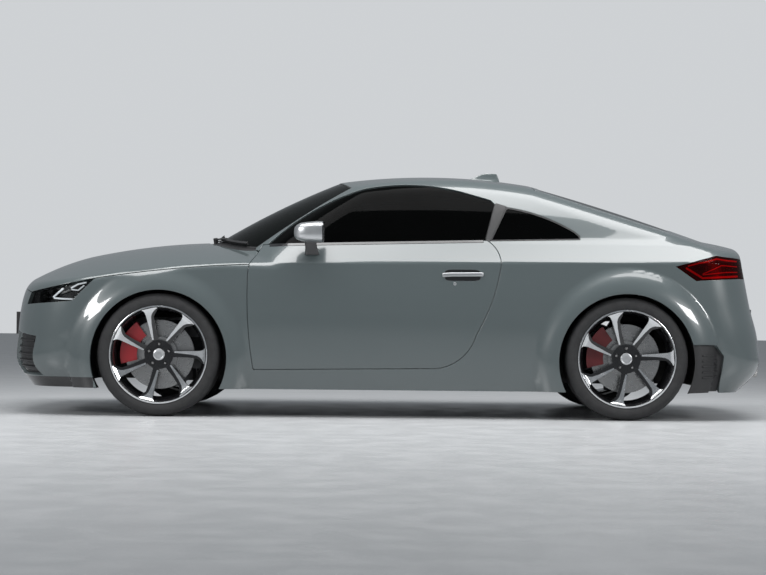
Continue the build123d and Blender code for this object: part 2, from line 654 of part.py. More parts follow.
for axle in AXLE_X:
    x, track = AXLE_X[axle], TRACK_HALF[axle]
    wheel_plane = Plane(origin=(x, -track, TYRE_R), x_dir=(1, 0, 0), z_dir=(0, -1, 0))
    with BuildPart() as wheel_face:
        with BuildSketch(wheel_plane.offset(55)):
            Circle(78)
            Circle(16, mode=Mode.SUBTRACT)
            for k in range(SPOKES):
                with BuildLine():
                    Polyline(*spoke_outline(SPOKE_ANGLE[axle] + 360 * k / SPOKES), close=True)
                make_face()
            with PolarLocations(56, 5, start_angle=90):
                Circle(9, mode=Mode.SUBTRACT)
        extrude(amount=70)
        add(wheel_part(axle, FACE_PROFILE), mode=Mode.INTERSECT)
    with BuildPart() as rim:
        add(wheel_part(axle, RIM_PROFILE))
        add(wheel_face.part)
        with BuildSketch(wheel_plane.offset(63)):
            Circle(32)
        extrude(amount=20)
    disc = wheel_part(axle, DISC_PROFILE)
    with BuildPart() as caliper:
        with BuildSketch(wheel_plane.offset(-17)):
            with BuildLine():
                arc = [(cos(radians(160 + a)), sin(radians(160 + a))) for a in (-34, 0, 34)]
                ThreePointArc(*[(212 * c, 212 * s) for c, s in arc])
                Line((212 * arc[2][0], 212 * arc[2][1]), (122 * arc[2][0], 122 * arc[2][1]))
                ThreePointArc(*[(122 * c, 122 * s) for c, s in reversed(arc)])
                Line((122 * arc[0][0], 122 * arc[0][1]), (212 * arc[0][0], 212 * arc[0][1]))
            make_face()
        extrude(amount=72)
        with BuildSketch(wheel_plane.offset(-1)):
            Circle(DISC_R + 6)
        extrude(amount=38, mode=Mode.SUBTRACT)
    with BuildPart() as upright:
        with BuildSketch(wheel_plane.offset(-60)):
            Rectangle(56, 290 if axle == "front" else 180)
            with Locations((cos(radians(160)) * 85, sin(radians(160)) * 85)):
                Rectangle(170, 60, rotation=-20)
        extrude(amount=43)
        with BuildSketch(wheel_plane.offset(-17)):
            Circle(SPINDLE_R + 12)
        extrude(amount=16)
        with BuildSketch(wheel_plane.offset(-1)):
            Circle(SPINDLE_R)
        extrude(amount=58)
    arm_z = (166.0, 495.0) if axle == "front" else (200.0, 360.0)
    tower_y = 445.0 if axle == "front" else 530.0
    with BuildPart() as arms:
        for z in arm_z:
            with BuildSketch(Plane.XY.offset(z - 11)):
                with BuildLine():
                    Polyline((x - 75, -tower_y), (x + 75, -tower_y), (x + 20, -STEER_Y - 18), (x - 20, -STEER_Y - 18),
                             close=True)
                make_face()
            extrude(amount=22)
        add(block(x - 80, x + 80, -tower_y, -tower_y + 40, 150, arm_z[1] + 20))
        cross_z = 160 if axle == "front" else 255
        add(block(x - 60, x + 60, -tower_y + 40, 0, cross_z, cross_z + 80))
        if axle == "rear":
            add(upright.part)
        else:
            add(block(-1940, -885, -455, -405, 330, 420))
            for z0, z1 in ((arm_z[0] + 11, arm_z[0] + 35), (arm_z[1] - 35, arm_z[1] - 11)):
                with BuildSketch(Plane.XY.offset(z0)):
                    with Locations((x, -STEER_Y)):
                        Circle(PIN_R)
                extrude(amount=z1 - z0)
        mirror(about=Plane.XZ)
    saved(arms.part, f"{axle}_subframe")
    if axle == "front":
        with BuildPart() as knuckle:
            add(upright.part)
            with Locations((x, -STEER_Y, TYRE_R)):
                Cylinder(PIN_R + PIN_GAP, 400, mode=Mode.SUBTRACT)
        for part, name in ((knuckle.part, "knuckle"), (caliper.part, "front_caliper")):
            saved(part, f"{name}_left")
            saved(mirror(part, about=Plane.XZ), f"{name}_right")
    else:
        saved(both(caliper.part), "rear_calipers")
    for part, name in ((wheel_part(axle, TYRE_PROFILE), "tyre"), (rim.part, "rim"), (disc, "disc")):
        saved(part, f"{axle}_{name}_left")
        saved(mirror(part, about=Plane.XZ), f"{axle}_{name}_right")

for shape, name in ((floor_pan.part, "floor_pan"), (both(linings.part), "wheelhouses"),
                    (block(-1480, -900, -230, 230, 240, 800), "engine_block"),
                    (block(-1965, -1940, -455, 455, 230, 590), "radiator")):
    saved(shape, name)

# ---------------------------------------------------------------- cabin
def dash_lines():
    Polyline((-860, 500), (-640, 500), (-490, 620), (-470, 760), (-560, 840), (-860, 900), (-860, 500))


def seat_lines():
    Polyline((-90, FLOOR_Z + FLOOR_T), (-105, 380), (-70, 405), (380, 345), (520, 920), (545, 1060), (610, 1065),
             (640, 1030), (500, FLOOR_Z + FLOOR_T), (-90, FLOOR_Z + FLOOR_T))


def rear_seat_lines():
    Polyline((690, FLOOR_Z + FLOOR_T), (680, 430), (700, 455), (880, 470), (1080, 900), (1150, 905), (1120, 760),
             (950, 432), (878, 432), (878, FLOOR_Z + FLOOR_T), (690, FLOOR_Z + FLOOR_T))


WHEEL_CENTRE = (-330.0, -370.0, 790.0)
COLUMN_TILT = 24.0
column = Plane(origin=WHEEL_CENTRE, z_dir=(cos(radians(COLUMN_TILT)), 0, sin(radians(COLUMN_TILT))), x_dir=(0, 1, 0))
with BuildPart() as steering_wheel:
    with BuildSketch(Plane(origin=WHEEL_CENTRE, x_dir=(0, 1, 0), z_dir=(sin(radians(-COLUMN_TILT)), 0,
                                                                      cos(radians(COLUMN_TILT))))):
        with Locations((178, 0)):
            Circle(15)
    revolve(axis=Axis(WHEEL_CENTRE, tuple(column.z_dir)))
    with BuildSketch(column.offset(-30)):
        Circle(62)
        Rectangle(340, 34)
        with Locations((0, -88)):
            Rectangle(50, 170)
    extrude(amount=22)
    with BuildSketch(column.offset(-130)):
        Circle(18)
    extrude(amount=102)
with BuildPart() as dashboard:
    add(side_prism(dash_lines, inner=-REACH))
    add(trim_space, mode=Mode.INTERSECT)
    for side in (-1, 1):                     # room for the doors' front corners as they swing
        with Locations((-600, side * 700, 860)):
            Box(560, 260, 120, mode=Mode.SUBTRACT)
    with BuildSketch(column.offset(-280)):
        Circle(42)
    extrude(amount=200)
    with BuildSketch(column.offset(-140)):
        Circle(18.05)
    extrude(amount=80, mode=Mode.SUBTRACT)
for shape, name in ((dashboard.part, "dashboard"), (steering_wheel.part, "steering_wheel"),
                    (both(side_prism(seat_lines, inner=135, outer=615)), "front_seats"),
                    (both(side_prism(rear_seat_lines, inner=135, outer=545)), "rear_seats")):
    saved(shape, name)
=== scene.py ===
# %% [markdown]
# # Coupe car
# The CAD model gives every place, joint and size. This script gives the looks: smooth painted panels over
# the CAD shells, glass, lamps, wheels, tyres and trim. Lengths inside the body's functions are in
# millimetres, with X from nose to tail, Y from left to right and Z up, and they are turned into metres when
# a mesh is made.

# %% Start: the frame and its size
import bpy, bmesh, json, math
import numpy as np
from mathutils import Vector, Matrix
from mathutils.geometry import delaunay_2d_cdt

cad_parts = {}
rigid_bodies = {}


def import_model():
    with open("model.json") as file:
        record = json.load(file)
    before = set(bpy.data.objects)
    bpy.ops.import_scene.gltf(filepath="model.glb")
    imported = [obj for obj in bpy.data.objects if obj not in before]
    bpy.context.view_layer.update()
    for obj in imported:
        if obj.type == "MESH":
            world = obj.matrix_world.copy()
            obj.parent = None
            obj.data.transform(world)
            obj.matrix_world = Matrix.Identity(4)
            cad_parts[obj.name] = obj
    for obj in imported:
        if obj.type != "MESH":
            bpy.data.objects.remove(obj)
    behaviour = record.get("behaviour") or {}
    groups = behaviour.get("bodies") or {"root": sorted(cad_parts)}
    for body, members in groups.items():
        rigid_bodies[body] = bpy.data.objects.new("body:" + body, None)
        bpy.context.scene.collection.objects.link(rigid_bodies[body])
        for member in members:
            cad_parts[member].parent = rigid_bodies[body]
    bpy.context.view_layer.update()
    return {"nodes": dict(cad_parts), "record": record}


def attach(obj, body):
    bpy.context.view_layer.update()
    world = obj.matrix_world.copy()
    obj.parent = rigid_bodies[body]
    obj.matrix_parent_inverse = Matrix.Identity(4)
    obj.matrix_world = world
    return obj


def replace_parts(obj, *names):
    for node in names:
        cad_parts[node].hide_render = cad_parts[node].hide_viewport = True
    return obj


for leftover in list(bpy.data.objects):
    bpy.data.objects.remove(leftover)
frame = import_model()
NODES = frame["nodes"]

# %% [markdown]
# ## The body's skin as one function
# The body is everything that lies inside its plan outlines (one for each height, blended between heights),
# or inside a wheel flare, and also under its side-view profile. Each rule is a distance, negative inside,
# and the rules are joined with rounded corners. A car's skin is drawn in the same way, from plan lines and
# a side view with a crown. It could also be one subdivided mesh, but a function gives every panel the same
# surface, to any fineness.
#
# The first table has one row for each height: the nose, the place where the side starts, its widest place,
# where it ends, the tail, the two corner radii and how far the row tilts towards the tail.

# %% The body's own numbers
#          z    nose    xf    yf  xm   ym    xr   yr  tail  rf   rr  slope
LEVELS = [(150, -2012, -1880, 780, 0, 852, 1880, 790, 1970, 300, 240, 0),
          (260, -2090, -1955, 840, 0, 872, 1975, 825, 2078, 350, 260, 0),
          (420, -2094, -1955, 855, 0, 886, 1980, 840, 2084, 370, 270, 0),
          (620, -2070, -1930, 858, 0, 890, 1935, 840, 2034, 390, 280, 0),
          (831, -1995, -1860, 845, 0, 878, 1895, 822, 1988, 390, 280, .009),
          (945, -1700, -1500, 700, 150, 802, 1900, 640, 1960, 200, 200, .0254),
          (1160, -1700, -1500, 575, 150, 692, 1900, 470, 1960, 200, 200, .0254),
          (1370, -1700, -1500, 400, 150, 545, 1900, 270, 1960, 200, 200, 0)]
WAIST, BELT = 4, 5                       # rows between which the shoulder runs straight
CENTRE = [(-2150, 640), (-1925, 785), (-1690, 873), (-1350, 932), (-985, 958), (-600, 1170), (-287, 1308),
          (200, 1344), (788, 1300), (1300, 1152), (1765, 992), (1900, 966), (2150, 880)]
EDGE = [(-2150, 531), (-1925, 638), (-1690, 697), (-1132, 777), (-554, 810), (-251, 1001), (15, 1179),
        (418, 1211), (788, 1171), (1300, 1002), (1765, 881), (1900, 852), (2150, 782)]
EDGE_Y = 940.0
AXLE_X = {"front": -1225.5, "rear": 1279.5}
TRACK = {"front": 775.0, "rear": 780.0}
TYRE_R, ARCH_R, ARCH_DROP, FLARE_FADE, FLARE_END = 330.5, 366.0, 17.0, 0.00325, 490.0
FLARE_Y = {"front": 908.0, "rear": 916.0}
CREST_R, ROOF_R, FLARE_R = 26.0, 55.0, 22.0
print("plan rows", len(LEVELS), "wheelbase", AXLE_X["rear"] - AXLE_X["front"])

# %% [markdown]
# ### Curves
# A plan outline is made of arcs, and the rows between two heights are blended by a smooth curve through
# their values.

# %% Arcs and smooth blends
def arc(p0, pm, p1, n):
    """n + 1 points along the circle through three points."""
    (x0, y0), (x1, y1), (x2, y2) = p0, pm, p1
    d = 2 * (x0 * (y1 - y2) + x1 * (y2 - y0) + x2 * (y0 - y1))
    if abs(d) < 1e-6:
        return [(x0 + (x2 - x0) * k / n, y0 + (y2 - y0) * k / n) for k in range(n + 1)]
    s0, s1, s2 = x0 * x0 + y0 * y0, x1 * x1 + y1 * y1, x2 * x2 + y2 * y2
    cx = (s0 * (y1 - y2) + s1 * (y2 - y0) + s2 * (y0 - y1)) / d
    cy = (s0 * (x2 - x1) + s1 * (x0 - x2) + s2 * (x1 - x0)) / d
    a0, a1, a2 = (math.atan2(y - cy, x - cx) for x, y in (p0, pm, p1))
    turn = (a2 - a0) % (2 * math.pi)
    if (a1 - a0) % (2 * math.pi) > turn:
        turn -= 2 * math.pi
    r = math.hypot(x0 - cx, y0 - cy)
    angles = [a0 + turn * k / n for k in range(n + 1)]
    return [(cx + r * math.cos(a), cy + r * math.sin(a)) for a in angles]


def hermite(knots, values, x):
    """A smooth curve through the values, with end slopes taken from the last two."""
    k, v = np.asarray(knots, float), np.asarray(values, float)
    slope = np.gradient(v, k, axis=0)
    i = np.clip(np.searchsorted(k, x) - 1, 0, len(k) - 2)
    h = (k[i + 1] - k[i])[:, None]
    t = ((x - k[i])[:, None]) / h
    return ((2 * t**3 - 3 * t**2 + 1) * v[i] + (t**3 - 2 * t**2 + t) * h * slope[i]
            + (3 * t**2 - 2 * t**3) * v[i + 1] + (t**3 - t**2) * h * slope[i + 1])


print("quarter arc", [tuple(round(v) for v in p) for p in arc((1, 0), (0.7071, 0.7071), (0, 1), 2)])

# %% [markdown]
# ### Tables
# The rows and the side view are worked out once, on a fine grid, so that the function only looks them up.
# The side view runs along the middle at one height and along the edge at a lower one, and a soft filter
# takes the kinks out of both.

# %% Table of the plan rows
Z_STEP, Z_LOW = 2.0, 60.0
z_grid = np.arange(Z_LOW, 1400, Z_STEP)
rows = np.array(LEVELS, float)
low, high = rows[:WAIST + 1], rows[BELT:]
level_table = np.where((z_grid <= rows[WAIST, 0])[:, None], hermite(low[:, 0], low, z_grid), 0)
level_table += np.where((z_grid > rows[BELT, 0])[:, None], hermite(high[:, 0], high, z_grid), 0)
between = (z_grid > rows[WAIST, 0]) & (z_grid <= rows[BELT, 0])
level_table[between] = np.stack([np.interp(z_grid[between], rows[WAIST:BELT + 1, 0], rows[WAIST:BELT + 1, c])
                                 for c in range(rows.shape[1])], 1)
print("plan table", level_table.shape)

# %% Table of the height of the top
X_STEP, X_LOW, X_HIGH, Q_STEP = 4.0, -2148.0, 2148.0, 0.02
ARC_STEPS, FILTER_REACH, FILTER_WIDTH = 60, 40.0, 16.0
x_grid, q_grid = np.arange(X_LOW, X_HIGH, X_STEP), np.arange(0, 1.2, Q_STEP)


def profile(points):
    """A line of arcs, each through three of the points."""
    out = []
    for k in range(0, len(points) - 1, 2):
        out += arc(*points[k:k + 3], ARC_STEPS)[:-1]
    return np.array(out + [points[-1]])


centre_line, edge_line = profile(CENTRE), profile(EDGE)
kernel = np.exp(-0.5 * (np.arange(-FILTER_REACH, FILTER_REACH + X_STEP, X_STEP) / FILTER_WIDTH) ** 2)
kernel /= kernel.sum()
pad = len(kernel) // 2
top_table = []
for q in q_grid:
    line = centre_line + (edge_line - centre_line) * q
    z = np.interp(x_grid, line[:, 0], line[:, 1])
    z = np.pad(z, pad, mode="reflect", reflect_type="odd")
    top_table.append(np.convolve(z, kernel, "same")[pad:-pad])
top_table = np.array(top_table)
print("top table", top_table.shape, "highest", round(float(top_table.max()), 1))

# %% Looking the tables up
def lookup(table, start, step, v):
    """Rows of a table at places v, blended between its steps."""
    t = np.clip((v - start) / step, 0, len(table) - 1.001)
    i = t.astype(int)
    w = (t - i)[:, None]
    return table[i] * (1 - w) + table[i + 1] * w


def top_height(x, y):
    """Height of the body's top at x and y, before its edges are rounded."""
    tx = np.clip((x - X_LOW) / X_STEP, 0, len(x_grid) - 1.001)
    tq = np.clip((y / EDGE_Y) ** 2 / Q_STEP, 0, len(q_grid) - 1.001)
    i, j = tx.astype(int), tq.astype(int)
    u, v = tx - i, tq - j
    a = top_table[j, i] * (1 - u) + top_table[j, i + 1] * u
    b = top_table[j + 1, i] * (1 - u) + top_table[j + 1, i + 1] * u
    return a * (1 - v) + b * v


print("roof height", top_height(np.array([200.0]), np.array([0.0])).round(1).tolist())

# %% [markdown]
# ### Joining the rules
# A body has three kinds of join: a roof edge is rounded, a corner seen in plan has a true arc even where
# its faces meet at a slant, and a wheel flare grows out of the side with a soft valley.

# %% Three ways to join two rules
def rounded(a, b, r):
    """Inside both rules, with the corner between them rounded to radius r."""
    return np.minimum(np.maximum(a, b), -r) + np.hypot(np.maximum(a + r, 0), np.maximum(b + r, 0))


def filleted(a, b, r, c):
    """Inside both rules, with a true arc of radius r; c is the cosine between their outward directions."""
    u, v, c = a + r, b + r, np.clip(c, -0.9, 0.97)
    corner = np.sqrt(np.maximum(u * u + v * v - 2 * u * v * c, 0) / (1 - c * c)) - r
    return np.where((u > c * v) & (v > c * u), corner, np.maximum(a, b))


def merged(a, b, k):
    """Inside either rule, with the valley between them filled smoothly over k."""
    h = np.clip(0.5 + 0.5 * (b - a) / k, 0, 1)
    return b * (1 - h) + a * h - k * h * (1 - h)


meeting = rounded(np.zeros(1), np.zeros(1), 10.0)
print("where two faces meet, a 10 mm corner reads", meeting.round(2), "mm")

# %% [markdown]
# ### The function
# The nose, tail and side of one row are arcs seen in plan. The flares are joined to them, and the top cuts
# the whole from above.

# %% The body's function
FLARE_FLAT, FLARE_IN, SLOPE_REACH = 356.0, 500.0, 10.0


def body(p):
    """Distance outside the body's skin at points p (n, 3), in mm; negative inside."""
    x, y, z = p[:, 0], np.abs(p[:, 1]), p[:, 2]
    slope = lookup(level_table, Z_LOW, Z_STEP, z)[:, 11]
    row = lookup(level_table, Z_LOW, Z_STEP, z - slope * x)
    _, nose, xf, yf, xm, ym, xr, yr, tail, rf, rr, _ = row.T
    s = xf - nose
    r = (yf**2 + s**2) / (2 * s)
    to_nose = np.stack([x - nose - r, y])
    d_nose = np.where(x < nose + r, np.hypot(*to_nose) - r, nose - x)
    s = tail - xr
    r = (yr**2 + s**2) / (2 * s)
    to_tail = np.stack([x - tail + r, y])
    d_tail = np.where(x > tail - r, np.hypot(*to_tail) - r, x - tail)
    ax, ay, bx, by = xf - xm, yf - ym, xr - xm, yr - ym
    d = 2 * (ax * by - bx * ay)
    cx = (by * (ax**2 + ay**2) - ay * (bx**2 + by**2)) / d
    cy = (ax * (bx**2 + by**2) - bx * (ax**2 + ay**2)) / d
    r = np.hypot(cx, cy)
    to_side = np.stack([x - xm - cx, y - ym - cy])
    d_side = np.hypot(*to_side) - r
    reach = np.hypot(*to_side)
    meet_nose, meet_tail = (np.sum(to_side * other, 0) / (reach * np.maximum(np.hypot(*other), 1))
                            for other in (to_nose, to_tail))
    side = filleted(filleted(d_side, d_nose, rf, meet_nose), d_tail, rr, meet_tail)
    for axle, ax in AXLE_X.items():
        rho = np.hypot(x - ax, z - TYRE_R + ARCH_DROP)
        flare = y - FLARE_Y[axle] + FLARE_FADE * np.maximum(rho - FLARE_FLAT, 0) ** 2
        flare = np.maximum(flare, rho - FLARE_END)
        side = merged(side, np.maximum(flare, FLARE_IN - y), FLARE_R)
    top = top_height(x, y)
    slope = (top_height(x + SLOPE_REACH, y) - top_height(x - SLOPE_REACH, y)) / (2 * SLOPE_REACH)
    blend = np.clip((x + 900) / 500, 0, 1) * np.clip((1700 - x) / 500, 0, 1)
    return rounded(side, (z - top) / np.sqrt(1.04 + slope**2), CREST_R + (ROOF_R - CREST_R) * blend)


print("a point in the cabin reads", body(np.array([[0.0, 0, 700]])).round(1), "mm")

# %% Outward direction, and rays that meet the skin
def gradient(p, h=5.0):
    """The outward direction of the body at points p."""
    g = np.stack([body(p + h * e) - body(p - h * e) for e in np.eye(3)], 1)
    return g / np.linalg.norm(g, axis=1)[:, None]


def cast(origin, direction, far=2600.0):
    """Where rays from inside leave the body, by halving the stretch that holds the skin."""
    near, out = np.zeros(len(origin)), np.full(len(origin), far)
    for _ in range(26):                      # leaves less than a thousandth of a millimetre
        mid = (near + out) / 2
        outside = body(origin + direction * mid[:, None]) > 0
        out, near = np.where(outside, mid, out), np.where(outside, near, mid)
    return origin + direction * out[:, None]


probe = cast(np.array([[0, 0, 700.0], [0, 0, 500], [-1103, 0, 795], [300, 0, 500]]),
             np.array([[0, -1.0, 0], [0, 0, 1], [0, -1, 0], [1, 0, 0]]))
print("probe", probe.round(1).tolist())

# %% [markdown]
# ## Panels cut from the skin
# Each panel is laid out flat in a view where it doesn't fold (from the side, from above, or round the nose
# or tail), its outline is cut in, the flat net is triangulated and every point is thrown onto the skin.
# Normals come from the body's function, so reflections run from panel to panel as on pressed steel. The
# edge is turned in with a small radius, and that is what makes a shut line catch the light. Cutting one big
# mesh with booleans would leave ragged triangles along every shut line.

# %% Views
HEM, HEM_R, GRID = 13.0, 1.6, 13.0
VIEWS = {}                                   # how a point is laid flat, and the ray that goes back from there


def flat_view(axes, start, direction):
    """A view along one axis: its two axes on paper, where its rays start and which way they go."""
    def rays(u):
        origin = np.full((len(u), 3), float(start))
        origin[:, axes] = u
        return origin, direction
    return lambda p: p[:, axes], rays


def round_view(cx, sign, reach=700.0):
    """A panel round the nose (sign -1) or the tail (sign 1), as angle and height."""
    def flat(p):
        return np.stack([np.arctan2(p[:, 1], sign * (p[:, 0] - cx)) * reach, p[:, 2]], 1)

    def rays(u):
        a = u[:, 0] / reach
        return (np.stack([a * 0 + cx, a * 0, u[:, 1]], 1), np.stack([sign * np.cos(a), np.sin(a), a * 0], 1))
    return flat, rays


def dome(centre, reach):
    """A panel seen from a point inside it, spread out by its angle from straight up."""
    c = np.array(centre, float)

    def flat(p):
        d = p - c
        s = np.hypot(d[:, 0], d[:, 1])
        return d[:, :2] * (np.arctan2(s, d[:, 2]) * reach / np.maximum(s, 1e-9))[:, None]

    def rays(u):
        a = np.maximum(np.hypot(u[:, 0], u[:, 1]), 1e-9)
        k = np.sin(a / reach) / a
        return np.broadcast_to(c, (len(u), 3)), np.stack([u[:, 0] * k, u[:, 1] * k, np.cos(a / reach)], 1)
    return flat, rays


VIEWS["left"], VIEWS["right"] = flat_view([0, 2], -300, (0, -1, 0)), flat_view([0, 2], 300, (0, 1, 0))
VIEWS["front"], VIEWS["rear"] = flat_view([1, 2], -1350, (-1, 0, 0)), flat_view([1, 2], 1350, (1, 0, 0))
VIEWS["top"] = flat_view([0, 1], 420, (0, 0, 1))
VIEWS["nose"], VIEWS["tail"] = round_view(-1350.0, -1), round_view(1350.0, 1)
VIEWS["lid"], VIEWS["gate"] = dome((-1250, 0, 250), 950.0), dome((1350, 0, 480), 720.0)


def thrown(view, uv):
    """Points of a view, thrown onto the skin."""
    origin, direction = VIEWS[view][1](uv)
    return cast(origin, np.broadcast_to(np.asarray(direction, float), origin.shape))


print("views", sorted(VIEWS), "belt point", thrown("left", np.array([[0.0, 900.0]])).round(1).tolist())

# %% [markdown]
# ### Outlines
# An outline is a list of points about 9 mm apart. It is drawn from arcs and lines, can be grown for a gap,
# and can be asked which points lie in it.

# %% Outlines
POINT_GAP = 9.0


def even(points):
    """A polyline with points no further apart than POINT_GAP, corners kept."""
    out = []
    for a, b in zip(points[:-1], points[1:]):
        n = max(1, int(math.dist(a, b) / POINT_GAP))
        out += [tuple(np.add(a, np.subtract(b, a) * k / n)) for k in range(n)]
    return out + [tuple(points[-1])]


def outline(*pieces):
    """A closed outline from arcs (three points) and lines (two points)."""
    out = []
    for piece in pieces:
        if len(piece) == 3:
            span = math.dist(piece[0], piece[1]) + math.dist(piece[1], piece[2])
            out += arc(*piece, max(4, int(span / POINT_GAP)))[:-1]
        else:
            out += even(piece)[:-1]
    return np.array(out)


def grown(loop, by):
    """The outline moved out by some millimetres."""
    p = np.asarray(loop)
    area = 0.5 * np.sum(p[:, 0] * np.roll(p[:, 1], -1) - np.roll(p[:, 0], -1) * p[:, 1])
    d = np.roll(p, -1, 0) - p
    n = np.stack([d[:, 1], -d[:, 0]], 1) / np.linalg.norm(d, axis=1)[:, None] * np.sign(area)
    m = n + np.roll(n, 1, 0)
    m /= np.maximum(np.sum(m * n, 1), 0.35)[:, None]
    return p + m * by


def inside(loop, p):
    """Which points lie inside a closed outline."""
    x, y, hit = p[:, 0], p[:, 1], np.zeros(len(p), bool)
    for (x0, y0), (x1, y1) in zip(loop, np.roll(loop, -1, 0)):
        if y0 != y1:
            hit ^= ((y0 > y) != (y1 > y)) & (x < (x1 - x0) * (y - y0) / (y1 - y0) + x0)
    return hit


square = np.array([(0, 0), (40, 0), (40, 40), (0, 40)], float)
print("square grown by 5:", grown(square, 5).round(1).tolist())

# %% [markdown]
# ### Net and hem
# Points on a triangular grid and the points of every cut line go through one triangulation. Grid points
# that stand too near a cut line are left out, so that no thin triangles come up beside it.

# %% Points near a line, and a mesh object
def near_line(p, lines, limit):
    """Which points lie within limit of any of the polylines' own points."""
    q = np.concatenate(lines)
    close = np.zeros(len(p), bool)
    for k in range(0, len(p), 2000):
        part = p[k:k + 2000]
        close[k:k + 2000] = (((part[:, None] - q[None]) ** 2).sum(2).min(1) < limit**2)
    return close


def mesh_piece(name, verts, faces, normals=None, scale=0.001):
    """A smooth mesh object at the origin, with its own normals where they are given."""
    mesh = bpy.data.meshes.new(name)
    mesh.from_pydata((np.asarray(verts) * scale).tolist(), [], [tuple(f) for f in faces])
    mesh.validate()
    mesh.shade_smooth()
    if normals is not None and len(mesh.vertices) == len(normals):
        mesh.normals_split_custom_set_from_vertices([tuple(n) for n in normals])
    piece = bpy.data.objects.new(name, mesh)
    bpy.context.scene.collection.objects.link(piece)
    return piece


print("near a corner of the square:", near_line(np.array([[1.0, 1], [20, 20]]), [square], 5).tolist())

# %% Net of triangles on the skin
TALL = 0.866                                 # row height of a triangular grid


def skin_net(view, cuts, keep, sink=0.0, grid=GRID):
    """Triangles on the skin, kept where keep() says, with every cut line in the net.

    A cut is (view, outline), or (view, line, 1) where the line is open.
    """
    flat = VIEWS[view][0]
    lines = [flat(thrown(cut[0], np.asarray(cut[1]))) if cut[0] != view else np.asarray(cut[1])
             for cut in cuts]
    every = np.concatenate(lines)
    lo, hi = every.min(0), every.max(0)
    nx, ny = int((hi[0] - lo[0]) / grid) + 1, int((hi[1] - lo[1]) / (grid * TALL)) + 1
    gx, gy = np.meshgrid(np.arange(nx), np.arange(ny))
    pts = np.stack([lo[0] + (gx + 0.5 * (gy % 2)) * grid, lo[1] + gy * grid * TALL], 2).reshape(-1, 2)
    pts = pts[~near_line(pts, lines, grid * 0.62)]
    verts, edges = [tuple(p) for p in pts], []
    for cut, loop in zip(cuts, lines):
        n = len(verts)
        verts += [tuple(p) for p in loop]
        edges += [(n + k, n + (k + 1) % len(loop)) for k in range(len(loop) - (len(cut) > 2))]
    v2, _, faces, *_ = delaunay_2d_cdt([Vector(v) for v in verts], edges, [], 0, 0.05)
    uv = np.array([tuple(v) for v in v2])
    faces = np.array([f for f in faces if len(f) == 3])
    p = thrown(view, uv)
    real = np.abs(body(p)) < 1.0
    middle = p[faces].mean(1)
    faces = faces[keep(middle) & real[faces].all(1)]
    used = np.unique(faces)
    index = np.full(len(p), -1)
    index[used] = np.arange(len(used))
    p, faces = p[used], index[faces]
    n = gradient(p)
    a, b, c = p[faces[:, 0]], p[faces[:, 1]], p[faces[:, 2]]
    flip = np.sum(np.cross(b - a, c - a) * n[faces[:, 0]], 1) < 0
    faces[flip] = faces[flip][:, ::-1]
    return p - n * sink, faces, n


small = square + (0, 700)
points, triangles, ways = skin_net("left", [("left", small)], lambda p: inside(small, p[:, [0, 2]]))
print("net of a 40 mm square:", len(points), "points,", len(triangles), "triangles")

# %% Hem
def hemmed(p, faces, n, hem, r=HEM_R):
    """The net with its free edge rounded over and turned in."""
    e = np.concatenate([faces[:, [0, 1]], faces[:, [1, 2]], faces[:, [2, 0]]])
    key = {}
    for a, b in e:
        key[(a, b)] = key.get((a, b), 0) + 1
    free = [(a, b) for a, b in e if (b, a) not in key]
    out = {}
    for a, b in free:
        side = np.cross(p[b] - p[a], (n[a] + n[b]) / 2)
        side /= max(np.linalg.norm(side), 1e-9)
        for v in (a, b):
            out[v] = out.get(v, 0) + side
    ids = sorted(out)
    t = np.array([out[v] / max(np.linalg.norm(out[v]), 1e-9) for v in ids])
    base, nn = p[ids], n[ids]
    rows, row_n = [], []
    for angle in (30, 60, 90):
        a = math.radians(angle)
        rows.append(base + t * r * (math.sin(a)) - nn * r * (1 - math.cos(a)))
        row_n.append(nn * math.cos(a) + t * math.sin(a))
    rows.append(base + t * r - nn * hem)
    row_n.append(t)
    first = len(p)
    place = {v: k for k, v in enumerate(ids)}
    out_faces = [tuple(f) for f in faces]
    m = len(ids)
    for a, b in free:
        ring_a = [a] + [first + k * m + place[a] for k in range(4)]
        ring_b = [b] + [first + k * m + place[b] for k in range(4)]
        for k in range(4):
            out_faces.append((ring_b[k], ring_a[k], ring_a[k + 1], ring_b[k + 1]))
    return np.concatenate([p, *rows]), out_faces, np.concatenate([n, *row_n])


print("the same square with its hem:", len(hemmed(points, triangles, ways, HEM)[1]), "faces")

# %% Panel and mirror image
def panel(name, view, cuts, keep, sink=0.0, hem=HEM, grid=GRID):
    """One skin panel with its edge rounded and turned in."""
    p, faces, n = skin_net(view, cuts, keep, sink, grid)
    return mesh_piece(name, *hemmed(p, faces, n, hem))


def mirrored(piece, name):
    """The same piece on the right side."""
    mesh = piece.data.copy()
    normals = np.array([tuple(c.vector) for c in mesh.corner_normals]) * (1, -1, 1)
    mesh.transform(Matrix.Scale(-1, 4, (0, 1, 0)))
    corner = np.array([l.vertex_index for l in mesh.loops])
    by_vertex = np.zeros((len(mesh.vertices), 3))
    by_vertex[corner] = normals
    mesh.flip_normals()
    mesh.normals_split_custom_set_from_vertices([tuple(v) for v in by_vertex])
    twin = bpy.data.objects.new(name, mesh)
    mesh.name = name
    bpy.context.scene.collection.objects.link(twin)
    return twin


print("edges are rounded to", HEM_R, "mm and turned in by", HEM, "mm")

# %% [markdown]
# ## Outlines of the panels
# On a real car, one shut line is shared by the two panels beside it. Here each outline is drawn once, in
# the view where it is plainest, and the neighbour is cut by the same outline grown by the gap. Doors, glass
# and lamps are drawn from the side, lids from above.

# %% Doors and side glass
GAP, GLASS_GAP = 6.0, 8.0


def belt(x):
    """Height of the line under the side glass."""
    return 945 + 0.0254 * x


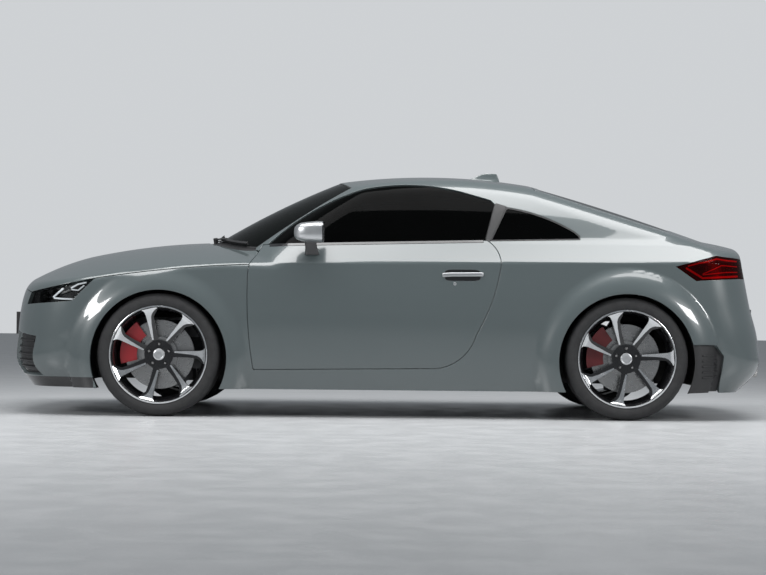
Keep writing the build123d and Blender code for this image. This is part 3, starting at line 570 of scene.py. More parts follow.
DOOR = outline(((-681, belt(-681)), (-742, 822)), ((-742, 822), (-750, 765), (-751, 709)),
               ((-751, 709), (-745, 480), (-717, 258)), ((-717, 258), (260, 272)),
               ((260, 272), (388, 325), (470, 450)), ((470, 450), (562, 655), (602, 830)),
               ((602, 830), (588, 893), (530, belt(530))), ((530, belt(530)), (-681, belt(-681))))
DOOR_GLASS = outline(((-650, belt(-650)), (-425, 1108), (-131, 1238)),
                     ((-131, 1238), (100, 1263), (435, 1214)),
                     ((435, 1214), (552, 1180)), ((552, 1180), (571, 1160)), ((571, 1160), (516, belt(516))),
                     ((516, belt(516)), (-650, belt(-650))))
QUARTER_GLASS = outline(((549, belt(549)), (640, 1145)), ((640, 1145), (830, 1099), (1009, 1014)),
                        ((1009, 1014), (1036, 990)), ((1036, 990), (1036, belt(1036))),
                        ((1036, belt(1036)), (549, belt(549))))
print("door", len(DOOR), "points, door glass", len(DOOR_GLASS))

# %% Lamps and bonnet
HEADLAMP = outline(((-1964, 593), (-1939, 660)), ((-1939, 660), (-1571, 736)), ((-1571, 736), (-1697, 612)),
                   ((-1697, 612), (-1964, 593)))
TAIL_LAMP = outline(((1540, 829), (1771, 892)), ((1771, 892), (1830, 884)), ((1830, 884), (2020, 872)),
                    ((2020, 872), (2020, 768)), ((2020, 768), (1895, 765)), ((1895, 765), (1653, 750)),
                    ((1653, 750), (1540, 829)))
LAMP_TOP = [(-2200, 757), (-1939, 664), (-1571, 740)]
CREST = arc((-1571, 740), (-1104, 799), (-640, 824), 60)
ABOVE_CREST = np.array([*even(LAMP_TOP), *CREST, (-640, 1500), (-2200, 1500)])
BONNET_REAR = [*arc((-722, -690), (-1035, 0), (-722, 690), 90), (-690, 760), (-690, 1000)]
BONNET = np.array([*BONNET_REAR, (-2200, 1000), (-2200, -1000), (-690, -1000), (-690, -760)])
print("bonnet", len(BONNET), "points, headlamp", len(HEADLAMP), "tail lamp", len(TAIL_LAMP))

# %% Screen, roof and tailgate
SCREEN = outline(((-722, -664), (-977, 0), (-722, 664)), ((-722, 664), (-205, 548)),
                 ((-205, 548), (-282, 0), (-205, -548)), ((-205, -548), (-722, -664)))
COWL = outline(((-722, -664), (-977, 0), (-722, 664)), ((-722, 664), (-722, 690)),
               ((-722, 690), (-1035, 0), (-722, -690)), ((-722, -690), (-722, -664)))
ROOF = outline(((-205, 548), (-282, 0), (-205, -548)), ((-205, -548), (300, -575), (800, -560)),
               ((800, -560), (800, 560)), ((800, 560), (300, 575), (-205, 548)))
HATCH = outline(((806, 560), (806, -560)), ((806, -560), (1250, -595), (1700, -600)),
                ((1700, -600), (1760, -540)),
                ((1760, -540), (2200, -540)), ((2200, -540), (2200, 540)), ((2200, 540), (1760, 540)),
                ((1760, 540), (1700, 600)), ((1700, 600), (1250, 595), (806, 560)))
HATCH_GLASS = outline(((838, 505), (838, -505)), ((838, -505), (1150, -535), (1530, -540)),
                      ((1530, -540), (1600, 0), (1530, 540)), ((1530, 540), (1150, 535), (838, 505)))
print("roof", len(ROOF), "points, tailgate", len(HATCH))

# %% Bumpers, wheel openings and small openings
NOSE_EDGE = [(-1570, 50), (-1570, 420), (-1535, 505), (-1697, 612), (-1964, 593), (-1939, 660), (-1939, 1000)]
TAIL_EDGE = [(1500, 50), (1500, 400), (1622, 480), (1653, 750), (1895, 765), (2200, 766)]
ARCHES = {a: np.array([(x + ARCH_R * math.cos(t), TYRE_R - ARCH_DROP + ARCH_R * math.sin(t))
                       for t in np.linspace(0, 2 * math.pi, 240, endpoint=False)]) for a, x in AXLE_X.items()}
BASE_Z, HATCH_LOW, SILL_Z, LIP_Z = 151.0, 772.0, 245.0, 206.0
VENT = np.array([(1500, 60), (1500, 410), (1765, 410), (1808, 350), (1790, 205), (1800, 60)])
GRILLE = outline(((-545, 598), (-500, 330)), ((-500, 330), (-470, 305)), ((-470, 305), (470, 305)),
                 ((470, 305), (500, 330)), ((500, 330), (545, 598)), ((545, 598), (-545, 598)))
INTAKE = outline(((-796, 425), (-590, 455)), ((-590, 455), (-560, 300)), ((-560, 300), (-600, 215)),
                 ((-600, 215), (-778, 209)), ((-778, 209), (-796, 425)))
DIFFUSER = outline(((-640, 50), (-640, 300)), ((-640, 300), (-560, 345)), ((-560, 345), (560, 345)),
                   ((560, 345), (640, 300)), ((640, 300), (640, 50)), ((640, 50), (-640, 50)))
HANDLE = np.array([(398 + 98 * math.copysign(abs(math.cos(t)) ** 0.35, math.cos(t)),
                    770 + 32 * math.copysign(abs(math.sin(t)) ** 0.5, math.sin(t)))
                   for t in np.linspace(0, 2 * math.pi, 72, endpoint=False)])
print("grille", len(GRILLE), "points, intake", len(INTAKE), "diffuser", len(DIFFUSER))

# %% [markdown]
# ### Which points belong to a panel
# Each panel keeps the triangles whose middles lie in its zone. The tests read the same outlines as the cuts
# do, so that no triangle is claimed twice and none is lost.

# %% Views of points and parts of outlines
def left_part(loop, y=-330):
    """The stretch of a plan outline that lies on the left side, as an open line."""
    p = np.asarray(loop)
    start = int(np.argmax(p[:, 1]))
    p = np.roll(p, -start, 0)
    return p[p[:, 1] < y]


def side(p):
    """Points as seen from the side."""
    return p[:, [0, 2]]


def plan(p):
    """Points as seen from above."""
    return p[:, :2]


def open_line(points):
    """A polyline for a cut that doesn't close."""
    return np.array(even(points))


print("left part of the roof's outline:", len(left_part(ROOF)), "points")

# %% Zones of lids and bumpers
ZONE_FRONT = np.array([(-2300, 50), *NOSE_EDGE, (-2300, 1000)])
ZONE_TAIL = np.array([*TAIL_EDGE, (2300, 766), (2300, 50)])


def in_bonnet(p, gap=0.0):
    """Points of the bonnet, or of the bonnet and the gap round it."""
    ok = inside(grown(BONNET, gap), plan(p)) & inside(grown(ABOVE_CREST, gap), side(p))
    return ok & ~inside(grown(DOOR, GAP), side(p))


def in_hatch(p, gap=0.0):
    """Points of the tailgate, or of the tailgate and the gap round it."""
    return inside(grown(HATCH, gap), plan(p)) & (p[:, 2] > HATCH_LOW - gap)


def without(p, *loops):
    """Outside all of these side-view outlines, and above the floor line."""
    ok = p[:, 2] > BASE_Z
    for loop in loops:
        ok &= ~inside(loop, side(p))
    return ok


def in_front(p):
    """Points of the front bumper's zone."""
    return inside(ZONE_FRONT, side(p)) & without(p, ARCHES["front"], HEADLAMP) & ~in_bonnet(p, GAP)


def in_tail(p):
    """Points of the rear bumper's zone."""
    return inside(ZONE_TAIL, side(p)) & without(p, ARCHES["rear"], TAIL_LAMP, VENT) & ~in_hatch(p, GAP)


def both_sides(line):
    """An open cut on the left and the same one on the right."""
    return [("left", line, 1), ("right", line, 1)]


def front_edge(drop, reach=(-58, 58)):
    """The bonnet's front edge round the nose, lowered by drop, as angle and height."""
    a = np.radians(np.linspace(*reach, 120)) * 700
    z = a * 0 + 690
    for _ in range(8):
        z = np.interp(thrown("nose", np.stack([a, z], 1))[:, 0], *np.array(LAMP_TOP).T) - drop
    return np.stack([a, z], 1)


spots = np.array([[-1500.0, 0, 860], [1850, 0, 950], [-1900, -700, 500]])
print("in the bonnet", in_bonnet(spots).tolist(), "in the tailgate", in_hatch(spots).tolist())

# %% [markdown]
# ## The painted panels
# The outer skin of a car is a set of pressed sheets. The left door, wing and side are made first and
# mirrored later; lids and bumpers run across both sides.

# %% Door skin
MADE = {}
MADE["door_left"] = panel("door_skin_left", "left", [("left", DOOR), ("left", HANDLE)],
                          lambda p: inside(DOOR, side(p)) & ~inside(HANDLE, side(p)), hem=17)
print("door skin", len(MADE["door_left"].data.polygons), "faces")

# %% Side skin, with the rear quarter, the sill and the pillars
WING_REAR, SILL_FRONT, SILL_STEP, WING_FOOT = -751.0, -905.0, -700.0, 520.0
DOOR_FOOT = -715.0                           # below this height the wing reaches back to the door's curve
LAMP_STEP = [(1885, 755), (1885, 777), (2020, 777)]
wide = (grown(DOOR, GAP), grown(DOOR_GLASS, GLASS_GAP), grown(QUARTER_GLASS, 4), ARCHES["front"],
        ARCHES["rear"], TAIL_LAMP)
side_cuts = [*[("left", loop) for loop in wide], ("left", open_line(TAIL_EDGE), 1),
             ("left", open_line([(SILL_FRONT, BASE_Z), (2000, BASE_Z)]), 1),
             ("left", open_line([(SILL_FRONT, BASE_Z - 40), (SILL_FRONT, SILL_Z), (SILL_STEP, SILL_Z)]), 1),
             ("left", open_line([(WING_REAR, WING_FOOT), (WING_REAR, 1000)]), 1),
             ("top", left_part(ROOF), 1), ("top", left_part(SCREEN), 1), ("top", left_part(COWL), 1),
             ("top", grown(BONNET, GAP)[:40], 1), ("top", left_part(grown(HATCH, GAP)), 1),
             ("left", open_line(LAMP_STEP), 1)]


def in_side(p):
    """Points of the side skin."""
    x, z, t = p[:, 0], p[:, 2], plan(p)
    zone = (x > WING_REAR) | ((x > SILL_FRONT) & (z < SILL_Z))
    zone &= without(p, *wide) & ~in_hatch(p, GAP) & ~in_bonnet(p, GAP)
    zone &= ~((x < DOOR_FOOT) & (z > SILL_Z) & (z < WING_FOOT))
    for loop in (ROOF, SCREEN, COWL):
        zone &= ~inside(loop, t)
    (x0, z0), (_, z1) = LAMP_STEP[:2]
    return zone & ~inside(ZONE_TAIL, side(p)) & ~((x > x0) & (z > z0) & (z < z1))


MADE["side_left"] = panel("side_skin_left", "left", side_cuts, in_side, hem=18)
print("side skin", len(MADE["side_left"].data.polygons), "faces")

# %% Front wing
crest_gap, door_gap = grown(ABOVE_CREST, GAP), grown(DOOR, GAP)


def in_wing(p):
    """Points of the front wing."""
    x, z = p[:, 0], p[:, 2]
    zone = (x < WING_REAR) | ((x < DOOR_FOOT) & (z < WING_FOOT))
    zone &= ~inside(ZONE_FRONT, side(p)) & without(p, door_gap, ARCHES["front"], HEADLAMP)
    return zone & ~in_bonnet(p, GAP) & ~((x > SILL_FRONT) & (z < SILL_Z)) & (z < 830)


MADE["wing_left"] = panel(
    "wing_skin_left", "left",
    [("left", crest_gap), ("left", ARCHES["front"]), ("left", HEADLAMP), ("left", open_line(NOSE_EDGE), 1),
     ("left", door_gap),
     ("left", open_line([(SILL_FRONT, 100), (SILL_FRONT, SILL_Z), (SILL_STEP, SILL_Z)]), 1),
     ("left", open_line([(-1800, BASE_Z), (-700, BASE_Z)]), 1)], in_wing)
print("wing skin", len(MADE["wing_left"].data.polygons), "faces")

# %% Bonnet, cowl and roof
MADE["bonnet"] = panel(
    "bonnet_skin", "lid",
    [("top", np.array(BONNET_REAR[:91]), 1), ("top", open_line([(-722, 690), (-690, 760), (-690, 800)]), 1),
     ("top", open_line([(-722, -690), (-690, -760), (-690, -800)]), 1), ("nose", front_edge(0), 1),
     *both_sides(open_line([*LAMP_TOP[1:2], LAMP_TOP[2]])), *both_sides(np.array(CREST)),
     ("left", grown(DOOR, GAP)), ("right", grown(DOOR, GAP))], in_bonnet, hem=20)
MADE["cowl"] = panel("cowl_skin", "top", [("top", COWL)],
                     lambda p: inside(grown(COWL, -0.5), plan(p)), sink=3.0, hem=10)
ROOF_REAR = 794.0
MADE["roof"] = panel("roof_skin", "top",
                     [("top", ROOF), ("top", open_line([(ROOF_REAR, -620), (ROOF_REAR, 620)]), 1)],
                     lambda p: inside(ROOF, plan(p)) & (p[:, 0] < ROOF_REAR), hem=16)
print({k: len(MADE[k].data.polygons) for k in ("bonnet", "cowl", "roof")})

# %% Tailgate
hatch_left = [tuple(q) for q in HATCH if q[0] < 1765 and q[1] < 0] + [(2200, -540)]
hatch_right = [(2200, 540)] + [tuple(q) for q in HATCH if q[0] < 1765 and q[1] > 0]
MADE["hatch"] = panel(
    "hatch_skin", "gate",
    [("top", open_line(hatch_left), 1), ("top", open_line(hatch_right), 1),
     ("top", open_line([(806, 560), (806, -560)]), 1), ("top", grown(HATCH_GLASS, 4)),
     ("tail", open_line([(-700, HATCH_LOW), (700, HATCH_LOW)]), 1)],
    lambda p: in_hatch(p) & ~inside(grown(HATCH_GLASS, 4), plan(p)), hem=16)
print("tailgate skin", len(MADE["hatch"].data.polygons), "faces")

# %% Front and rear bumper
def in_intake(p):
    """Points of either front intake: the right one is folded over to the left."""
    return inside(INTAKE, np.stack([-np.abs(p[:, 1]), p[:, 2]], 1))


MADE["nose"] = panel(
    "nose_skin", "nose",
    [*both_sides(open_line(NOSE_EDGE[:6])), ("nose", front_edge(GAP), 1), ("front", GRILLE),
     ("front", INTAKE), ("front", INTAKE * (-1, 1)), ("left", ARCHES["front"]), ("right", ARCHES["front"]),
     ("nose", open_line([(-1000, BASE_Z), (1000, BASE_Z)]), 1),
     ("nose", open_line([(-1000, LIP_Z), (1000, LIP_Z)]), 1)],
    lambda p: in_front(p) & ~inside(GRILLE, p[:, 1:]) & ~in_intake(p), hem=20)
MADE["tail"] = panel(
    "tail_skin", "tail",
    [*both_sides(open_line(TAIL_EDGE[:5])), ("tail", open_line([(-1000, 765.5), (1000, 765.5)]), 1),
     ("rear", DIFFUSER), ("left", ARCHES["rear"]), ("right", ARCHES["rear"]), ("left", VENT), ("right", VENT),
     ("tail", open_line([(-1000, BASE_Z), (1000, BASE_Z)]), 1)],
    lambda p: in_tail(p) & ~inside(DIFFUSER, p[:, 1:]), hem=20)
print({k: len(MADE[k].data.polygons) for k in ("nose", "tail")})

# %% [markdown]
# ### Glass
# Flush glass stands a little inside the paint. Each pane is a panel like the others, sunk by 3 mm, with a
# short hem.

# %% Panes, then the mirror images
GLASS_SINK = 3.0


def pane_of(name, view, loop, laid):
    """A pane that fills an outline; laid shows points in the outline's view."""
    return panel(name, view, [(view, loop)], lambda p: inside(loop, laid(p)), sink=GLASS_SINK, hem=4)


MADE["windscreen"] = pane_of("windscreen_glass", "top", SCREEN, plan)
MADE["hatch_glass"] = pane_of("hatch_glass_pane", "top", HATCH_GLASS, plan)
MADE["door_glass_left"] = pane_of("door_glass_pane_left", "left", DOOR_GLASS, side)
MADE["quarter_glass_left"] = pane_of("quarter_glass_pane_left", "left", QUARTER_GLASS, side)
for name in ("door", "side", "wing", "door_glass", "quarter_glass"):
    left = MADE[name + "_left"]
    MADE[name + "_right"] = mirrored(left, left.name.replace("left", "right"))
print({k: (len(v.data.vertices), len(v.data.polygons)) for k, v in MADE.items()})

# %% [markdown]
# ## Materials
# A small class wraps the sockets of a node tree, so that a pattern is written as a sum instead of being
# wired by hand.

# %% A value in a node tree
class Signal:
    """A value in a node tree that can be added, scaled and compared like a number."""

    def __init__(self, surface, socket):
        self.surface, self.socket = surface, socket

    def maths(self, operation, other=0.0, swap=False):
        pair = (other, self) if swap else (self, other)
        return self.surface.node("ShaderNodeMath", {"operation": operation}, dict(enumerate(pair)))

    def __add__(self, other):
        return self.maths("ADD", other)

    def __sub__(self, other):
        return self.maths("SUBTRACT", other)

    def __rsub__(self, other):
        return self.maths("SUBTRACT", other, True)

    def __mul__(self, other):
        return self.maths("MULTIPLY", other)

    __radd__, __rmul__ = __add__, __mul__

    def between(self, low, high):
        """0 below low, 1 above high."""
        return self.surface.node("ShaderNodeMapRange", {"clamp": True},
                                 {"Value": self, "From Min": low, "From Max": high})


print("signals can be added, subtracted and multiplied:", hasattr(Signal, "__rsub__"))

# %% [markdown]
# ### Nodes
# Every node comes from one method. Patterns read the piece's own object coordinates, so they lie the same
# way on every panel and don't stretch.

# %% A material's surface
class Surface:
    """A material and its node tree."""

    def __init__(self, name):
        self.material = bpy.data.materials.new(name)
        self.material.use_nodes = True
        self.tree = self.material.node_tree
        self.tree.nodes.clear()

    def node(self, kind, settings=(), values=(), pick=0):
        """A node of a kind, with its settings and the values or links of its sockets."""
        made = self.tree.nodes.new(kind)
        for key, value in dict(settings).items():
            setattr(made, key, value)
        for key, value in dict(values).items():
            if isinstance(value, Signal):
                self.tree.links.new(value.socket, made.inputs[key])
            else:
                made.inputs[key].default_value = value
        return Signal(self, made.outputs[pick]) if made.outputs else made

    def at(self, location=(0, 0, 0)):
        """The piece's own coordinates in metres, moved by location."""
        where = self.node("ShaderNodeTexCoord", pick="Object")
        return self.node("ShaderNodeMapping", values={"Vector": where, "Location": location})

    def noise(self, scale, detail=2.0):
        return self.node("ShaderNodeTexNoise", values={"Vector": self.at(), "Scale": scale, "Detail": detail})

    def cells(self, scale):
        return self.node("ShaderNodeTexVoronoi", values={"Vector": self.at(), "Scale": scale})

    def rings(self, scale, at):
        return self.node("ShaderNodeTexWave", {"wave_type": "RINGS", "rings_direction": "Y"},
                         {"Vector": at, "Scale": scale, "Distortion": 0.6, "Detail": 1.0}, pick="Fac")

    def mix(self, factor, a, b):
        """Two colours, blended by a factor."""
        return self.node("ShaderNodeMix", {"data_type": "RGBA"}, {0: factor, 6: (*a, 1), 7: (*b, 1)}, pick=2)

    def relief(self, height, strength, distance=0.001):
        return self.node("ShaderNodeBump",
                         values={"Height": height, "Strength": strength, "Distance": distance})

    def end(self, shader):
        self.node("ShaderNodeOutputMaterial", values={"Surface": shader})
        return self.material

    def principled(self, **values):
        values = {k.replace("_", " "): v for k, v in values.items()}
        return self.node("ShaderNodeBsdfPrincipled", values=values)


print("patterns:", [k for k in vars(Surface) if not k.startswith("_")])

# %% [markdown]
# ### Finishes
# No real surface has one flat tone. Every finish has a slow change of tone, a dusty change of gloss and a
# fine relief. Three kinds cover the car: solid finishes, glass that lets its colour through, and faintly
# lit lamp parts.

# %% Three kinds of finish
def finish(name, dark, light, rough, metal=0.0, coat=0.0, tone=3.0, grain=400.0, depth=0.05, cell=0.0,
           turned=None):
    """A finish from two tones and two roughnesses, with grain, cells or turned rings for relief."""
    s = Surface(name)
    slow, fine = s.noise(tone), s.noise(grain, 1.0)
    if cell:
        fine = s.cells(cell) * 0.8 + fine * 0.2
    if turned:
        fine = s.rings(turned[2], s.at(location=(-turned[0], 0, -turned[1]))) * 0.7 + fine * 0.3
    dust = s.noise(tone * 9, 3.0).between(0.42, 0.75)
    return s.end(s.principled(
        Base_Color=s.mix(slow * 0.8 + fine * 0.2, dark, light), Metallic=metal,
        Coat_Weight=coat, Coat_Roughness=0.03,
        Roughness=dust * (rough[1] - rough[0]) + rough[0], Normal=s.relief(fine, depth), IOR=1.5))


def tinted(name, colour):
    """Thin coloured glass: it lets its colour through and mirrors more towards a slant."""
    s = Surface(name)
    film = s.noise(5.0, 2.0)
    clear = s.node("ShaderNodeBsdfTransparent", values={"Color": (*colour, 1)})
    mirror = s.principled(Base_Color=(0.02, 0.022, 0.022, 1), Roughness=film * 0.03 + 0.03, IOR=1.5)
    facing = s.node("ShaderNodeFresnel", values={"IOR": 1.55})
    return s.end(s.node("ShaderNodeMixShader", values={0: facing * 0.9 + film * 0.02, 1: clear, 2: mirror}))


def glowing(name, colour, strength):
    """A lamp part that is lit a little."""
    s = Surface(name)
    grain = s.noise(300.0)
    return s.end(s.principled(Base_Color=s.mix(grain, colour, tuple(c * 0.85 for c in colour)),
                              Roughness=grain * 0.1 + 0.2, Emission_Color=(*colour, 1),
                              Emission_Strength=strength))


print("kinds:", finish.__name__, tinted.__name__, glowing.__name__)

# %% Paint, plastics and rubber
M = {
    "paint": finish("paint", (0.076, 0.094, 0.097), (0.084, 0.104, 0.107), (0.285, 0.30), coat=1.0, tone=0.7,
                    grain=900, depth=0.012),
    "gloss_black": finish("gloss_black", (0.006, 0.006, 0.007), (0.010, 0.010, 0.011), (0.12, 0.25), coat=0.6,
                          depth=0.02),
    "black": finish("black_plastic", (0.012, 0.012, 0.013), (0.022, 0.022, 0.023), (0.45, 0.62), grain=900,
                    cell=700, depth=0.18),
    "trim": finish("cabin_trim", (0.014, 0.014, 0.015), (0.026, 0.026, 0.028), (0.55, 0.75), grain=700,
                   cell=900, depth=0.3),
    "under": finish("underbody", (0.010, 0.010, 0.010), (0.030, 0.029, 0.027), (0.65, 0.9), tone=6,
                    grain=150, depth=0.3),
    "seal": finish("rubber_seal", (0.008, 0.008, 0.009), (0.014, 0.014, 0.015), (0.5, 0.7), grain=600,
                   depth=0.15),
    "leather": finish("seat_leather", (0.014, 0.014, 0.015), (0.028, 0.027, 0.028), (0.42, 0.6), tone=5,
                      cell=420, grain=900, depth=0.35),
}
print(len(M), "soft and painted finishes")

# %% Metals
M.update({
    "cast": finish("cast_metal", (0.05, 0.05, 0.052), (0.11, 0.11, 0.115), (0.45, 0.65), metal=0.7, grain=260,
                   depth=0.35),
    "alloy": finish("cast_alloy", (0.28, 0.28, 0.29), (0.42, 0.42, 0.43), (0.35, 0.55), metal=0.9, grain=260,
                    depth=0.3),
    "steel": finish("brushed_steel", (0.38, 0.37, 0.36), (0.55, 0.54, 0.53), (0.22, 0.4), metal=1.0,
                    grain=500, depth=0.1),
    "silver": finish("brushed_silver", (0.50, 0.51, 0.52), (0.58, 0.59, 0.60), (0.30, 0.36), metal=0.9,
                     grain=900, depth=0.02),
    "red_paint": finish("caliper_red", (0.28, 0.010, 0.016), (0.40, 0.016, 0.022), (0.3, 0.42), coat=0.7,
                        grain=300, depth=0.1),
    "dark_red": finish("caliper_dark_red", (0.10, 0.006, 0.008), (0.16, 0.010, 0.012), (0.35, 0.5), coat=0.4,
                       grain=300, depth=0.1),
})
for axle, x in AXLE_X.items():
    spot = (x / 1000, TYRE_R / 1000)
    M["turned_" + axle] = finish("turned_face_" + axle, (0.60, 0.61, 0.62), (0.72, 0.73, 0.74), (0.20, 0.30),
                                 metal=1.0, turned=(*spot, 260), grain=900, depth=0.05)
    M["disc_" + axle] = finish("brake_disc_" + axle, (0.25, 0.25, 0.25), (0.38, 0.38, 0.38), (0.25, 0.4),
                               metal=1.0, turned=(*spot, 150), grain=700, depth=0.12)
print(len(M), "finishes with metals")

# %% Lamps and glass
M.update({
    "lamp_black": finish("lamp_housing", (0.008, 0.008, 0.009), (0.016, 0.016, 0.017), (0.2, 0.4), grain=300,
                         depth=0.1),
    "lamp_red": finish("lamp_red_inner", (0.045, 0.001, 0.002), (0.10, 0.002, 0.004), (0.2, 0.35), coat=0.5,
                       tone=12, cell=160, grain=300, depth=0.35),
    "clear": tinted("lamp_cover", (0.86, 0.88, 0.88)),
    "red_glass": tinted("lamp_cover_red", (0.62, 0.02, 0.03)),
    "dark_glass": tinted("glass_dark", (0.012, 0.013, 0.013)),
    "screen_glass": tinted("glass_screen", (0.16, 0.20, 0.19)),
    "white_lamp": glowing("lamp_white", (0.85, 0.88, 0.92), 0.35),
    "red_light": glowing("lamp_red_strip", (0.80, 0.03, 0.04), 0.2),
})
print(len(M), "materials")

# %% [markdown]
# ## Fitting pieces
# Every piece rides on a body of the CAD model, so that it moves with it. Under each painted skin stands the
# CAD shell, drawn in a little, for its inner side.

# %% Fitting and painting a piece
SLOT = {s["node"]: s["material_slot"] for s in frame["record"]["subparts"]}


def fit(piece, body_name, slot, *materials):
    """Give a piece its materials and the body it rides on; the slot is not used."""
    piece.data.materials.clear()
    for m in materials:
        piece.data.materials.append(M[m])
    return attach(piece, body_name)


def paint_faces(piece, test, index=1):
    """Give the faces whose middles pass the test another of the piece's materials."""
    mesh = piece.data
    middle = np.array([tuple(f.center) for f in mesh.polygons]) * 1000
    mesh.polygons.foreach_set("material_index", np.where(test(middle), index, 0).astype(np.int32))


print(len(set(SLOT.values())), "slots")

# %% Inner side of a shell
EDGE_BACK = 5.0                              # how far a wheel opening's inner edge stands back


def inner_copy(node, depth=5.0):
    """The CAD shell drawn in behind the painted skin, so that only its jambs and inner side show."""
    source = NODES[node]
    mesh = source.data.copy()
    mesh.name = node + "_inner"
    co = np.array([tuple(v.co) for v in mesh.vertices]) * 1000
    for _ in range(3):
        f = body(co)
        out = f > -depth
        co[out] -= gradient(co[out]) * (f[out] + depth)[:, None]
    for x in AXLE_X.values():                # the wheel opening's edge stands back behind the hem
        off = co[:, [0, 2]] - (x, TYRE_R - ARCH_DROP)
        rho = np.hypot(*off.T)
        edge = abs(rho - ARCH_R) < 4
        push = off * ((ARCH_R + EDGE_BACK) / np.maximum(rho, 1) - 1)[:, None]
        co[edge] += push[edge][:, [0, 0, 1]] * (1, 0, 1)
    mesh.vertices.foreach_set("co", (co / 1000).ravel())
    mesh.shade_flat()
    piece = bpy.data.objects.new(node + "_inner", mesh)
    bpy.context.scene.collection.objects.link(piece)
    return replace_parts(piece, node)


def deep_trim(p):
    """The cabin side of a shell and the edge of a wheel opening."""
    arch = np.minimum(*[np.hypot(p[:, 0] - x, p[:, 2] - TYRE_R + ARCH_DROP) for x in AXLE_X.values()])
    return (body(p) < -50) | ((arch < ARCH_R + 9) & (abs(p[:, 1]) > 500))


print("deep points", deep_trim(np.array([[0.0, -700, 700], [0, -880, 700]])).tolist())

# %% Panels on their bodies
PANELS = {  # skin, node, body
    "door_left": ("door_left", "door_left"), "door_right": ("door_right", "door_right"),
    "side_left": ("side_panel_left", "body"), "side_right": ("side_panel_right", "body"),
    "wing_left": ("front_wing_left", "body"), "wing_right": ("front_wing_right", "body"),
    "bonnet": ("bonnet", "bonnet"), "roof": ("roof_panel", "body"), "hatch": ("hatch", "hatch"),
    "nose": ("front_bumper", "body"), "tail": ("rear_bumper", "body"), "cowl": ("cowl", "body"),
}
for skin, (node, on) in PANELS.items():
    outer = "black" if skin == "cowl" else "paint"
    fit(MADE[skin], on, SLOT[node], outer, "gloss_black")
    shell = fit(inner_copy(node), on, SLOT[node], outer, "trim")
    paint_faces(shell, deep_trim)
paint_faces(MADE["nose"], lambda p: p[:, 2] < LIP_Z)
print(len(PANELS), "panels fitted")

# %% Housings behind the covers, and the panes
SUNK = {"headlamp_units": (26, "lamp_black"), "front_intakes": (22, "black"), "tail_lamps": (11, "lamp_red")}
for node, (depth, material) in SUNK.items():
    fit(inner_copy(node, depth), "body", SLOT[node], material)
GLASSES = {"windscreen": ("windscreen", "body", "screen_glass"),
           "hatch_glass": ("hatch_glass", "hatch", "dark_glass"),
           "door_glass_left": ("door_glass_left", "door_left", "dark_glass"),
           "door_glass_right": ("door_glass_right", "door_right", "dark_glass"),
           "quarter_glass_left": ("quarter_glasses", "body", "dark_glass"),
           "quarter_glass_right": ("quarter_glasses", "body", "dark_glass")}
for pane, (node, on, material) in GLASSES.items():
    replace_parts(fit(MADE[pane], on, SLOT[node], material), node)
print(len(SUNK), "housings", len(GLASSES), "panes")

# %% [markdown]
# ## Small shapes
# Three makers cover nearly all the fittings. A cap or a bolt is turned, a seal or a wiper is a ribbon that
# follows the skin, and a mirror is a loft through rings. Each gives plain vertices and faces, and the last
# step joins them and turns their faces outwards.

# %% Turned parts and lofts
def turned(shape, centre, axis=(0, -1, 0), steps=48):
    """Vertices and faces of (radius, height) points turned round an axis through centre."""
    axis = Vector(axis).normalized()
    u = axis.orthogonal().normalized()
    w = axis.cross(u)
    verts, n = [], len(shape)
    for k in range(steps):
        t = 2 * math.pi * k / steps
        d = u * math.cos(t) + w * math.sin(t)
        verts += [tuple(Vector(centre) + d * r + axis * h) for r, h in shape]
    faces = []
    for k in range(steps):
        a, b = k * n, (k + 1) % steps * n
        faces += [(a + i, b + i, b + i + 1, a + i + 1) for i in range(n - 1)]
    return verts, faces


def lofted(rings, capped=True):
    """Vertices and faces of a skin through closed rings with the same number of points."""
    n = len(rings[0])
    verts = [tuple(p) for ring in rings for p in ring]
    faces = [(k * n + i, k * n + (i + 1) % n, (k + 1) * n + (i + 1) % n, (k + 1) * n + i)
             for k in range(len(rings) - 1) for i in range(n)]
    if capped:
        faces += [tuple(reversed(range(n))), tuple(range(len(verts) - n, len(verts)))]
    return verts, faces


print("a turned pin has", len(turned([(1, 0), (1, 5), (0.01, 5)], (0, 0, 0))[1]), "faces")

# %% Ribbons on the skin
def ribbon(view, path, width, sink, depth, closed=False):
    """A flat bar along a line on the skin, its top sink below it (minus is proud of it)."""
    p = open_line([tuple(q) for q in path] + ([tuple(path[0])] if closed else []))
    if closed:
        p = p[:-1]
        d = np.roll(p, -1, 0) - np.roll(p, 1, 0)
    else:
        d = np.gradient(p, axis=0)
    d /= np.maximum(np.linalg.norm(d, axis=1), 1e-9)[:, None]
    side_way = np.stack([-d[:, 1], d[:, 0]], 1) * width / 2
    edges = [thrown(view, p + side_way), thrown(view, p - side_way)]
    normals = [gradient(e) for e in edges]
    rings = np.stack([edges[0] - normals[0] * sink, edges[1] - normals[1] * sink,
                      edges[1] - normals[1] * (sink + depth), edges[0] - normals[0] * (sink + depth)], 1)
    if closed:
        rings = np.concatenate([rings, rings[:1]])
    return lofted(list(rings), not closed)


print("a 90 mm ribbon has", len(ribbon("left", [(0, 700), (90, 700)], 5, 0, 2)[1]), "faces")

# %% Joining, rounding and mirroring
SHARP = math.radians(35)                     # faces that meet at more than this keep a crisp edge


def joined(name, shapes):
    """One mesh piece from several shapes, with faces turned outwards."""
    verts, faces = [], []
    for v, f in shapes:
        faces += [tuple(i + len(verts) for i in face) for face in f]
        verts += [tuple(p) for p in v]
    piece = mesh_piece(name, verts, faces)
    work = bmesh.new()
    work.from_mesh(piece.data)
    bmesh.ops.remove_doubles(work, verts=work.verts, dist=2e-5)
    bmesh.ops.recalc_face_normals(work, faces=work.faces)
    work.to_mesh(piece.data)
    work.free()
    piece.data.set_sharp_from_angle(angle=SHARP)
    return piece


